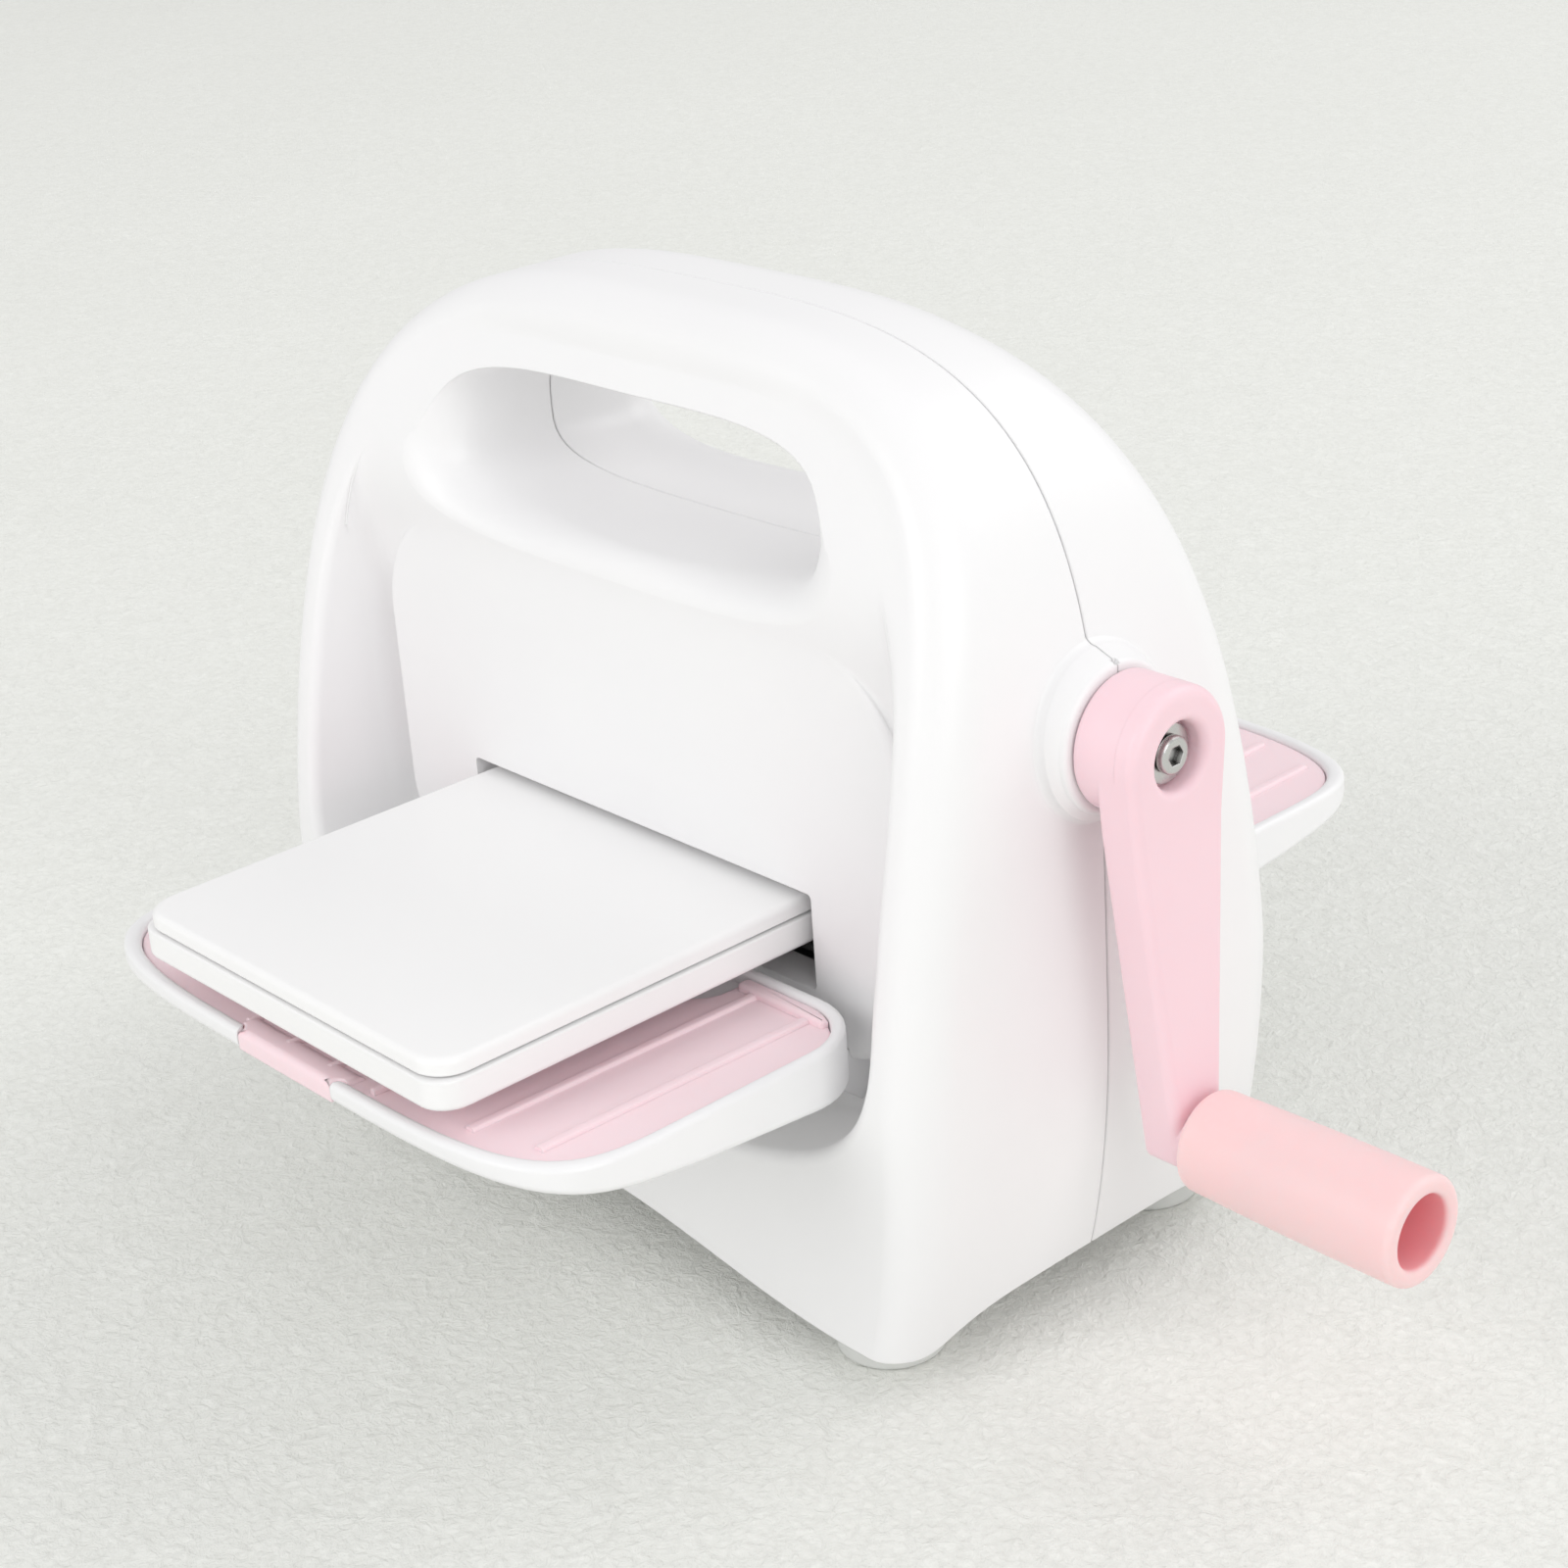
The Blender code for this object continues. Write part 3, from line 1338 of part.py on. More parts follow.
def tray(side):
    """A tray, modelled about its hinge: a rimmed top, a skirt below and two hinge knuckles."""
    name = f"{tagged(side)}_tray"
    axis = axis_empty(f"{name}_axis", (0, side * hinge_y, hinge_z))
    edge = tray_rim_round
    rings = [
        tray_place(tray_outline(edge), side, tray_bottom),
        tray_place(tray_outline(0.0), side, lambda y: tray_bottom(y) + edge),
        tray_place(tray_outline(0.0), side, lambda y: tray_rim_z - edge),
        tray_place(tray_outline(edge / 3), side, lambda y: tray_rim_z - edge / 3),
        tray_place(tray_outline(edge), side, lambda y: tray_rim_z),
    ]
    body = add(name, loft(name, rings), tray_plastic, parent=axis)

    def cut(mesh, operation="DIFFERENCE"):
        boolean(body, add(mesh.name, mesh, parent=axis), operation)

    hollow = tray_outline(tray_skirt + edge)
    cut(
        loft(
            f"{name}_underside",
            [
                tray_place(hollow, side, lambda y: tray_near_bottom_z - overrun),
                tray_place(hollow, side, lambda y: tray_floor_top_z - tray_floor_thickness),
            ],
        )
    )
    for hand in (-1, 1):
        where = "left" if hand < 0 else "right"
        inner = hand * knuckle_inner_x
        outer = hand * (knuckle_inner_x + knuckle_length)
        ends = ((inner, 0, 0), (outer, 0, 0))
        knuckle = round_bar(f"{name}_{where}_knuckle", knuckle_radius, *ends, small_steps)
        cut(knuckle, "UNION")
        start = (inner - hand * overrun, 0, 0)
        end = (outer + hand * overrun, 0, 0)
        eye = hinge_pin_radius + clearance
        cut(round_bar(f"{name}_{where}_eye", eye, start, end, small_steps))
        notch_x = (hand * (ear_inner_x - clearance), hand * (ear_outer_x + ear_notch_room))
        notch_near = hinge_y - tray_near_y + overrun
        notch_y = (-side * notch_near, side * (ear_radius + 2 * ear_notch_room))
        notch_low = (min(notch_x), min(notch_y), tray_near_bottom_z - hinge_z - overrun)
        notch_high = (max(notch_x), max(notch_y), ear_radius + ear_notch_room)
        cut(block(f"{name}_{where}_notch", notch_low, notch_high))
    pocket = tray_outline(tray_rim_width)
    cut(
        loft(
            f"{name}_pocket",
            [
                tray_place(pocket, side, lambda y: tray_floor_top_z),
                tray_place(pocket, side, lambda y: tray_rim_z + overrun),
            ],
        )
    )
    tab_depth = tray_far_y - hinge_y
    gap_y = (side * (tab_depth - tray_far_depth / 2), side * (tab_depth + overrun))
    half = tab_half_width + clearance
    cut(
        block(
            f"{name}_tab_gap",
            (-half, min(gap_y), tab_gap_z - hinge_z),
            (half, max(gap_y), tray_rim_z - hinge_z + overrun),
        )
    )

    # The insert lies in the tray's pocket, with a lip at the hinge, ribs and a tab over the rim
    label = f"{name}_insert"
    rim = tray_outline(tray_rim_width + clearance)
    bottom = tray_floor_top_z + clearance

    def insert_top(y):
        share = (y - tray_near_y) / (tray_far_y - tray_near_y)
        return insert_near_top_z + (insert_far_top_z - insert_near_top_z) * share

    sheet = [tray_place(rim, side, lambda y: bottom), tray_place(rim, side, insert_top)]
    insert = add(label, loft(label, sheet), pink_plastic, parent=axis)

    def join(mesh):
        boolean(insert, add(mesh.name, mesh, parent=axis), "UNION")

    ribs = (
        ("inner", insert_rib_inner_x, insert_rib_inner_far_y),
        ("outer", insert_rib_outer_x, insert_rib_outer_far_y),
    )
    for place, x, far in ribs:
        for hand in (-1, 1):
            where = "left" if hand < 0 else "right"
            outline = [
                (hand * x - insert_rib_width / 2, insert_rib_near_y),
                (hand * x + insert_rib_width / 2, insert_rib_near_y),
                (hand * x + insert_rib_width / 2, far),
                (hand * x - insert_rib_width / 2, far),
            ]
            rib = [
                tray_place(outline, side, lambda y: bottom + insert_rib_height),
                tray_place(outline, side, lambda y: insert_top(y) + insert_rib_height),
            ]
            join(loft(f"{label}_{where}_{place}_rib", rib))
    lip_half = tray_half_width - tray_near_corner
    lip_near = tray_near_y + tray_rim_width + clearance
    lip_y = (lip_near, lip_near + insert_lip_thickness)
    lip = [
        [(x, side * (lip_y[0] - hinge_y), z - hinge_z) for x in (-lip_half, lip_half)]
        for z in (bottom + clearance, insert_lip_top_z)
    ]
    lip_ring = [lip[0][0], lip[0][1], lip[1][1], lip[1][0]]
    lip_foot = [
        (x, side * (lip_y[1] - hinge_y), z - hinge_z)
        for x, z in (
            (-lip_half, bottom + clearance),
            (lip_half, bottom + clearance),
            (lip_half, insert_near_top_z + insert_rib_height),
            (-lip_half, insert_near_top_z + insert_rib_height),
        )
    ]
    join(loft(f"{label}_lip", [lip_ring, lip_foot]))
    notch = rounded_outline(
        insert_notch_half_width,
        tray_near_y - overrun,
        tray_near_y + insert_notch_depth,
        insert_notch_mouth_round,
        insert_notch_corner,
    )
    levels = (tray_floor_top_z, tray_rim_z + overrun)
    cutter = loft(f"{label}_notch", [tray_place(notch, side, lambda y: level) for level in levels])
    boolean(insert, add(cutter.name, cutter, parent=axis))

    tab_y = (side * (tab_depth - tray_far_depth / 3), side * (tab_depth - tab_setback))
    tab = block(
        f"{label}_tab",
        (-tab_half_width, min(tab_y), tab_gap_z + clearance - hinge_z),
        (tab_half_width, max(tab_y), tray_rim_z - hinge_z),
    )
    tab_body = add(tab.name, tab, parent=axis)
    rounding = tab_body.modifiers.new("edge", "BEVEL")
    rounding.width = tab_corner_round
    rounding.segments = 2
    rounding.limit_method = "ANGLE"
    boolean(insert, tab_body, "UNION")

    for hand in (-1, 1):
        where = "left" if hand < 0 else "right"
        start = hand * (knuckle_inner_x + clearance)
        end = hand * ear_outer_x
        pin = round_bar(
            f"{tagged(side)}_{where}_hinge_pin",
            hinge_pin_radius,
            (start, side * hinge_y, hinge_z),
            (end, side * hinge_y, hinge_z),
            small_steps,
        )
        add(pin.name, pin, steel)


tray(-1)
tray(1)


# Plates
def plate(name, inset, bottom, thickness):
    """A plate of the cutting stack, with rounded corners and softened edges."""
    half = plate_width / 2 - inset
    low = -plate_reach + inset
    high = -plate_reach + plate_length - inset
    edge = plate_edge_round
    rings = []
    for shrink, height in (
        (edge, 0.0),
        (0.0, edge),
        (0.0, thickness - edge),
        (edge / 3, thickness - edge / 3),
        (edge, thickness),
    ):
        corner = plate_corner_radius
        outline = rounded_outline(half - shrink, low + shrink, high - shrink, corner, corner)
        rings.append([(x, y, bottom + height) for x, y in outline])
    add(name, loft(name, rings), plate_plastic)


top_plate_bottom_z = plate_underside_z + base_plate_thickness + clearance
plate("base_plate", 0.0, plate_underside_z, base_plate_thickness)
plate("top_plate", top_plate_inset, top_plate_bottom_z, top_plate_thickness)


# Shading: faces that meet at less than the sharp angle look smooth
def smoothing():
    group = bpy.data.node_groups.new("smooth_by_angle", "GeometryNodeTree")
    group.interface.new_socket("Geometry", in_out="INPUT", socket_type="NodeSocketGeometry")
    group.interface.new_socket("Geometry", in_out="OUTPUT", socket_type="NodeSocketGeometry")
    start = group.nodes.new("NodeGroupInput")
    end = group.nodes.new("NodeGroupOutput")
    smooth = group.nodes.new("GeometryNodeSetShadeSmooth")
    sharp = group.nodes.new("GeometryNodeSetShadeSmooth")
    sharp.domain = "EDGE"
    sharp.inputs["Shade Smooth"].default_value = False
    angle = group.nodes.new("GeometryNodeInputMeshEdgeAngle")
    wide = group.nodes.new("FunctionNodeCompare")
    wide.operation = "GREATER_THAN"
    wide.inputs[1].default_value = sharp_angle
    group.links.new(start.outputs[0], smooth.inputs["Geometry"])
    group.links.new(smooth.outputs[0], sharp.inputs["Geometry"])
    group.links.new(angle.outputs["Unsigned Angle"], wide.inputs[0])
    group.links.new(wide.outputs[0], sharp.inputs["Selection"])
    group.links.new(sharp.outputs[0], end.inputs[0])
    return group


smoothing_group = smoothing()
for piece in pieces.objects:
    if piece.type == "MESH":
        last = piece.modifiers.new("smooth", "NODES")
        last.node_group = smoothing_group
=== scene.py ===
# %% [markdown]
# # A hand cranked die cutting machine
# The machine squeezes a sandwich of plates, card and a steel die between two rollers. Its frame
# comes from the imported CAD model: where every piece sits, and which pieces turn or slide
# together. This lesson dresses that frame: finer mouldings, plastic and metal finishes, light.

# %% Load the frame
import json
import math

import bmesh
import bpy
import numpy as np
from mathutils import Matrix, Vector

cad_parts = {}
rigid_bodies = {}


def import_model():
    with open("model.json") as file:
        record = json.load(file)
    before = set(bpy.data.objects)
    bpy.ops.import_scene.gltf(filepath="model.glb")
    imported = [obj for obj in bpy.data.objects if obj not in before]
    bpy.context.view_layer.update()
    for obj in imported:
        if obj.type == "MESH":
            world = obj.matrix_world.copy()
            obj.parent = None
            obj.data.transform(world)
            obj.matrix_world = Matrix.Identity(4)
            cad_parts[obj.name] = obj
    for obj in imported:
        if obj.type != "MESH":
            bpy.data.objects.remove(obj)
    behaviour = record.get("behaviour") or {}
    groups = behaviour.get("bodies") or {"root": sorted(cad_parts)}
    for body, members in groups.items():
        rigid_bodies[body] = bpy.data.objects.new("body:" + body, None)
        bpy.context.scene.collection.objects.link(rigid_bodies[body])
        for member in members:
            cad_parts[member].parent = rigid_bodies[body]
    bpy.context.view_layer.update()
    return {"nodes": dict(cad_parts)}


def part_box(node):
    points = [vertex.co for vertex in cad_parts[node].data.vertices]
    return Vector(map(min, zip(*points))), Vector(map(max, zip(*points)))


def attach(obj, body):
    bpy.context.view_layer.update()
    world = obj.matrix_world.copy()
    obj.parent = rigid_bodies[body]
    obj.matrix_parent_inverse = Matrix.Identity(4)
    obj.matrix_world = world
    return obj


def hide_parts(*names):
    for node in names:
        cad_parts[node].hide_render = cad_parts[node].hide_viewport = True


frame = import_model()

# %% [markdown]
# ## The camera
# A render can be laid over the photograph only if the camera stands where the photographer's
# did. The place, the aim and the slight roll below were solved from the corners of the plates
# and the ellipses of the crank, and the lens is a 67 mm one on a 36 mm wide frame.

# %% Camera
sensor_width = 0.036
lens_length = 0.06696
camera_place = Vector((0.296336, -0.274635, 0.250825))
camera_right = Vector((0.676982, 0.733216, -0.063954))
camera_down = Vector((0.257414, -0.317283, -0.912727))
camera_aim = Vector((-0.689517, 0.601437, -0.403534))

millimetre = 0.001
lens = bpy.data.cameras.new("photo_camera")
lens.sensor_width = sensor_width / millimetre
lens.lens = lens_length / millimetre
lens.clip_start = 0.01
camera = bpy.data.objects.new("photo_camera", lens)
bpy.context.scene.collection.objects.link(camera)
turn = Matrix((camera_right, -camera_down, -camera_aim)).transposed()
camera.matrix_world = Matrix.Translation(camera_place) @ turn.to_4x4()
bpy.context.scene.camera = camera
bpy.context.scene.view_settings.view_transform = "Standard"
print("camera distance:", round(camera_place.length, 3), "m")

# %% [markdown]
# ## Sizes
# Every size is named once, in metres. Most are the sizes that the CAD model was built with, and
# a few edges and corners are softer here. They are measured from the middle of the housing, so
# all pieces are moved sideways together.

# %% Sizes of the housing
machine_shift_x = -0.0275
body_half_width, body_height, body_half_depth = 0.0760, 0.14567, 0.0398
arch_centre_z, arch_side_power, arch_top_power = 0.0519, 3.35, 4.11
tuck_depth, tuck_power = 0.0930, 2.20
corner_z = 0.0055
lean_start_z, lean_back, lean_power = 0.0450, 0.0240, 1.5
cad_fillet, crest_inset, wall, seam = 0.0085, 0.0064, 0.0025, 0.00010
groove = 0.00015
well_half_width, well_centre_z, well_up, well_down = 0.0665, 0.0600, 0.07597, 0.0315
well_up_power, well_down_power, well_floor_y = 3.6, 3.0, 0.0195
well_rim_round, well_foot_round, well_draft = 0.0020, 0.0042, 0.0004
ramp_start_z, ramp_run, ramp_blend = 0.07597, 0.0280, 0.0050
panel_rise, panel_half_width, panel_soft = 0.0040, 0.0600, 0.0008
panel_face_y = well_floor_y + panel_rise
panel_bottom_z, panel_top_z = 0.0400, 0.10647
panel_top_corner, panel_bottom_corner = 0.0200, 0.0180
panel_edge_round, panel_foot_round = 0.0018, 0.0016
slot_half_width, slot_low_z, slot_top_z = 0.0400, 0.0503, 0.0658
tunnel_half_width, tunnel_floor_z, tunnel_middle_z, tunnel_roof_z = 0.0412, 0.10977, 0.11953, 0.13247
tunnel_side_flare, tunnel_floor_flare, tunnel_roof_flare = 0.0095, 0.0045, 0.0070
tunnel_power, mouth_clear = 3.4, 0.00005
crank_z = 0.09327
polar_middle = np.array((0.0, 0.0750))
side_count, bottom_count = 110, 26
print("housing:", 2000 * body_half_width, "x", 1000 * body_height, "mm")

# %% [markdown]
# ## Helpers for outlines
# A moulded shell is a stack of outlines: each is a little smaller or deeper than the one
# before. If all outlines have the same number of points, a skin of quads joins them, and the
# light runs over the rounded edges without a break.

# %% Outlines
right_angle = math.pi / 2


def quarter(steps):
    """The angles of a quarter turn in equal steps."""
    return np.linspace(0.0, right_angle, steps + 1)


def rounding(radius, steps):
    """A quarter round as pairs (in from the side, down from the top), starting at the side.

    For a lower edge the same pairs read (up from the bottom, in from the side).
    """
    return [(radius * (1 - math.cos(a)), radius * (1 - math.sin(a))) for a in quarter(steps)]


def evenly(points, count):
    """Count points at equal steps along a chain of points, its ends kept."""
    points = np.asarray(points, float)
    run = np.concatenate(([0.0], np.cumsum(np.linalg.norm(np.diff(points, axis=0), axis=1))))
    want = np.linspace(0.0, run[-1], count)
    return np.stack([np.interp(want, run, axis) for axis in points.T], axis=1)


def outward(outline):
    """Unit normals of a closed anticlockwise outline, pointing out of it."""
    run = np.roll(outline, -1, axis=0) - np.roll(outline, 1, axis=0)
    run /= np.linalg.norm(run, axis=1)[:, None]
    return np.stack((run[:, 1], -run[:, 0]), axis=1)


def superellipse(half_width, up, down, centre, powers, count):
    """A round-cornered closed outline whose halves above and below its centre differ."""
    a = np.linspace(0.0, 2 * math.pi, count * 12, endpoint=False)
    power = np.where(a < math.pi, powers[0], powers[1])
    x = np.sign(np.cos(a)) * np.abs(np.cos(a)) ** (2 / power)
    z = np.sign(np.sin(a)) * np.abs(np.sin(a)) ** (2 / power)
    fine = np.stack((half_width * x, centre + np.where(z > 0, up, down) * z), axis=1)
    return evenly(np.vstack((fine, fine[:1])), count + 1)[:-1]


def rounded_box(half_width, low, high, low_radius, high_radius, count):
    """A box outline, symmetric about zero, with rounded corners."""
    corners = (
        (-half_width + low_radius, low + low_radius, low_radius, 2 * right_angle),
        (half_width - low_radius, low + low_radius, low_radius, 3 * right_angle),
        (half_width - high_radius, high - high_radius, high_radius, 0.0),
        (-half_width + high_radius, high - high_radius, high_radius, right_angle),
    )
    angles = quarter(count - 1)
    return np.vstack(
        [
            np.stack((x + r * np.cos(start + angles), z + r * np.sin(start + angles)), axis=1)
            for x, z, r, start in corners
        ]
    )


def seen_from_middle(outline, guide):
    """Points of an outline in the same directions from the middle as the guide's points."""
    away = outline - polar_middle
    angle = np.arctan2(away[:, 1], away[:, 0])
    radius = np.linalg.norm(away, axis=1)
    order = np.argsort(angle)
    look = guide - polar_middle
    wanted = np.arctan2(look[:, 1], look[:, 0])
    reach = np.interp(wanted, angle[order], radius[order], period=2 * math.pi)
    return polar_middle + reach[:, None] * np.stack((np.cos(wanted), np.sin(wanted)), axis=1)


print("a round of 1 mm in three steps:", [tuple(round(v, 2) for v in pair) for pair in rounding(1.0, 3)])


# %% Skins
def oriented(mesh):
    """Turns a closed mesh inside out where its volume comes out negative."""
    build = bmesh.new()
    build.from_mesh(mesh)
    if build.calc_volume(signed=True) < 0:
        bmesh.ops.reverse_faces(build, faces=build.faces)
        build.to_mesh(mesh)
    build.free()
    return mesh


def skin(name, rings, strips=()):
    """A closed mesh through rings of points. Its ends are flat, or bent strips between pairs."""
    count = len(rings[0])
    points = np.vstack(rings)
    faces = []
    for level in range(len(rings) - 1):
        for i in range(count):
            j = (i + 1) % count
            low, high = level * count, (level + 1) * count
            faces.append((low + i, low + j, high + j, high + i))
    last = (len(rings) - 1) * count
    if not strips:
        faces.append(tuple(reversed(range(count))))
        faces.append(tuple(range(last, last + count)))
    for (a, b), (c, d) in zip(strips, strips[1:]):
        face = (a, b, d, c) if a != b else (a, d, c)
        faces.append(tuple(last + i for i in face))
        faces.append(tuple(reversed(face)))
    mesh = bpy.data.meshes.new(name)
    mesh.from_pydata(points.tolist(), [], faces)
    return oriented(mesh)


print("skin helpers: oriented, skin")


# %% Booleans, bars and blocks
def evaluated(obj):
    """The mesh of an object with its modifiers applied; the object is removed."""
    graph = bpy.context.evaluated_depsgraph_get()
    mesh = bpy.data.meshes.new_from_object(obj.evaluated_get(graph))
    bpy.data.objects.remove(obj, do_unlink=True)
    return mesh


def combined(mesh, operation, others):
    """One exact Boolean of a mesh with several others."""
    body = bpy.data.objects.new(mesh.name, mesh)
    bpy.context.scene.collection.objects.link(body)
    tools = bpy.data.collections.new("tools")
    bpy.context.scene.collection.children.link(tools)
    for other in others:
        tools.objects.link(bpy.data.objects.new(other.name, other))
    modifier = body.modifiers.new("combine", "BOOLEAN")
    modifier.operation = operation
    modifier.solver = "EXACT"
    modifier.operand_type = "COLLECTION"
    modifier.collection = tools
    made = evaluated(body)
    for tool in list(tools.objects):
        bpy.data.objects.remove(tool, do_unlink=True)
    bpy.data.collections.remove(tools)
    made.name = mesh.name
    return made


def bar(name, radius, start, end, sides=48, end_radius=None):
    """A round bar or cone between two points."""
    build = bmesh.new()
    run = Vector(end) - Vector(start)
    place = Matrix.Translation((Vector(start) + Vector(end)) / 2)
    bmesh.ops.create_cone(
        build, cap_ends=True, segments=sides, radius1=radius,
        radius2=radius if end_radius is None else end_radius, depth=run.length,
        matrix=place @ run.to_track_quat("Z", "Y").to_matrix().to_4x4(),
    )
    mesh = bpy.data.meshes.new(name)
    build.to_mesh(mesh)
    build.free()
    return mesh


def block(name, low, high):
    """A box between two corners."""
    corners = ((low[0], low[1]), (high[0], low[1]), (high[0], high[1]), (low[0], high[1]))
    return skin(name, [np.array([(x, y, z) for x, y in corners]) for z in (low[2], high[2])])


print("mesh helpers: evaluated, combined, bar, block")

# %% [markdown]
# ## Finishes
# Satin plastic is not one flat colour. The mould leaves a fine grain, handling leaves
# patches that are a little glossier, and edges polish with use. Four node groups make these
# effects, and each material places them with its own values. They put out only masks,
# heights and roughness; the shader itself stays in the material. The mask for hollows carries painted shade
# on metal and painted bounce light in the grip's bore.

# %% Node helpers
def new_group(name, inputs, outputs):
    """An empty shader group. Inputs are (name, value), outputs are (name, socket type)."""
    group = bpy.data.node_groups.new(name, "ShaderNodeTree")
    for label, value in inputs:
        kind = "NodeSocketColor" if isinstance(value, tuple) else "NodeSocketFloat"
        socket = group.interface.new_socket(label, in_out="INPUT", socket_type=kind)
        socket.default_value = value
    for label, kind in outputs:
        group.interface.new_socket(label, in_out="OUTPUT", socket_type=kind)
    start = group.nodes.new("NodeGroupInput")
    end = group.nodes.new("NodeGroupOutput")
    return group, start, end


def node(tree, kind, links=(), **values):
    """Adds a node and sets its properties. Links are (input, value or the socket to link)."""
    made = tree.nodes.new(kind)
    for key, value in values.items():
        setattr(made, key, value)
    for key, source in links:
        if isinstance(source, bpy.types.NodeSocket):
            tree.links.new(source, made.inputs[key])
        else:
            made.inputs[key].default_value = source
    return made


def noise(tree, scale, detail, place=None, **more):
    """Noise on Object coordinates, or on another vector."""
    if place is None:
        place = node(tree, "ShaderNodeTexCoord").outputs["Object"]
    links = (("Vector", place), ("Scale", scale), ("Detail", detail), *more.items())
    return node(tree, "ShaderNodeTexNoise", links).outputs["Fac"]


def ranged(tree, value, low, high, to_low=0.0, to_high=1.0):
    """A value stretched from one range to another, and held at its ends."""
    links = (
        ("Value", value), ("From Min", low), ("From Max", high),
        ("To Min", to_low), ("To Max", to_high),
    )
    return node(tree, "ShaderNodeMapRange", links).outputs["Result"]


print("node helpers: new_group, node, noise, ranged")


# %% Grain and worn edges
def mould_grain_group():
    """Fine grain, and soft patches where the mould or a hand has changed the gloss."""
    group, start, end = new_group(
        "mould_grain",
        (("Grain Scale", 1800.0), ("Patch Scale", 28.0), ("Patch Low", 0.0), ("Patch High", 1.0)),
        (("Height", "NodeSocketFloat"), ("Patches", "NodeSocketFloat")),
    )
    given = start.outputs
    patch = noise(group, given["Patch Scale"], 3.0)
    spread = ranged(group, patch, 0.3, 0.7, given["Patch Low"], given["Patch High"])
    group.links.new(noise(group, given["Grain Scale"], 2.0), end.inputs["Height"])
    group.links.new(spread, end.inputs["Patches"])
    return group


def worn_edge_group():
    """A mask that is 1 on edges, broken up so that wear isn't a ruled line."""
    group, start, end = new_group(
        "worn_edge",
        (("Radius", 0.0006), ("Break Scale", 350.0), ("Amount", 1.0)),
        (("Mask", "NodeSocketFloat"),),
    )
    given = start.outputs
    rounded = node(group, "ShaderNodeBevel", (("Radius", given["Radius"]),), samples=4)
    flat = node(group, "ShaderNodeNewGeometry")
    alike = node(
        group, "ShaderNodeVectorMath",
        ((0, rounded.outputs["Normal"]), (1, flat.outputs["Normal"])), operation="DOT_PRODUCT",
    )
    mask = ranged(group, alike.outputs["Value"], 0.995, 0.86)
    broken = ranged(group, noise(group, given["Break Scale"], 4.0), 0.35, 0.6)
    for factor in (broken, given["Amount"]):
        times = node(group, "ShaderNodeMath", ((0, mask), (1, factor)), operation="MULTIPLY")
        mask = times.outputs["Value"]
    group.links.new(mask, end.inputs["Mask"])
    return group


mould_grain = mould_grain_group()
worn_edge = worn_edge_group()
print("finish groups:", mould_grain.name, worn_edge.name)

# %% Lathe lines and open faces
line_stretch = (1.0, 0.06, 0.06)


def lathe_lines_group():
    """Fine lines round an axis along X, as a lathe or a polishing wheel leaves them."""
    group, start, end = new_group(
        "lathe_lines",
        (("Line Scale", 4000.0), ("Low", 0.25), ("High", 0.4)),
        (("Height", "NodeSocketFloat"), ("Roughness", "NodeSocketFloat")),
    )
    place = node(group, "ShaderNodeTexCoord").outputs["Object"]
    squeezed = node(group, "ShaderNodeMapping", (("Vector", place), ("Scale", line_stretch)))
    lines = noise(group, start.outputs["Line Scale"], 3.0, squeezed.outputs["Vector"])
    spread = ranged(group, lines, 0.3, 0.7, start.outputs["Low"], start.outputs["High"])
    group.links.new(lines, end.inputs["Height"])
    group.links.new(spread, end.inputs["Roughness"])
    return group


def open_surface_group():
    """A mask that is 1 on open faces and falls to 0 in hollows, where materials lay painted shade or
    painted bounce light.
    """
    group, start, end = new_group("open_surface", (("Reach", 0.0012),), (("Open", "NodeSocketFloat"),))
    seen = node(
        group, "ShaderNodeAmbientOcclusion", (("Distance", start.outputs["Reach"]),),
        samples=8, only_local=True,
    )
    group.links.new(ranged(group, seen.outputs["AO"], 0.35, 0.85), end.inputs["Open"])
    return group


lathe_lines = lathe_lines_group()
open_surface = open_surface_group()
print("finish groups:", lathe_lines.name, open_surface.name)

# %% Material helpers
edge_round = 0.0003


def new_material(name):
    """A material, its tree and its shader."""
    made = bpy.data.materials.new(name)
    made.use_nodes = True
    return made, made.node_tree, made.node_tree.nodes["Principled BSDF"]


def placed_group(tree, group, **values):
    """A group in a material, with this material's own values on its inputs."""
    made = tree.nodes.new("ShaderNodeGroup")
    made.node_tree = group
    for key, value in values.items():
        made.inputs[key.replace("_", " ")].default_value = value
    return made


def mixed(tree, mask, first, second):
    """Mixes two colours by a mask."""
    made = tree.nodes.new("ShaderNodeMix")
    made.data_type = "RGBA"
    tree.links.new(mask, made.inputs["Factor"])
    for socket, colour in ((made.inputs[6], first), (made.inputs[7], second)):
        if isinstance(colour, bpy.types.NodeSocket):
            tree.links.new(colour, socket)
        else:
            socket.default_value = (*colour, 1.0)
    return made.outputs[2]


def softened_normal(tree, height, strength, distance):
    """Bump over a normal that rounds the sharp edges a little."""
    rounded = node(tree, "ShaderNodeBevel", (("Radius", edge_round),), samples=4)
    bump = node(
        tree, "ShaderNodeBump",
        (("Strength", strength), ("Distance", distance), ("Height", height),
         ("Normal", rounded.outputs["Normal"])),
    )
    return bump.outputs["Normal"]


print("sharp edges look rounded by", 1000 * edge_round, "mm")

# %% Plastic
grain_depth, bore_reach, glow_colours = 0.00002, 0.0140, (1.0, 0.55, 0.5)


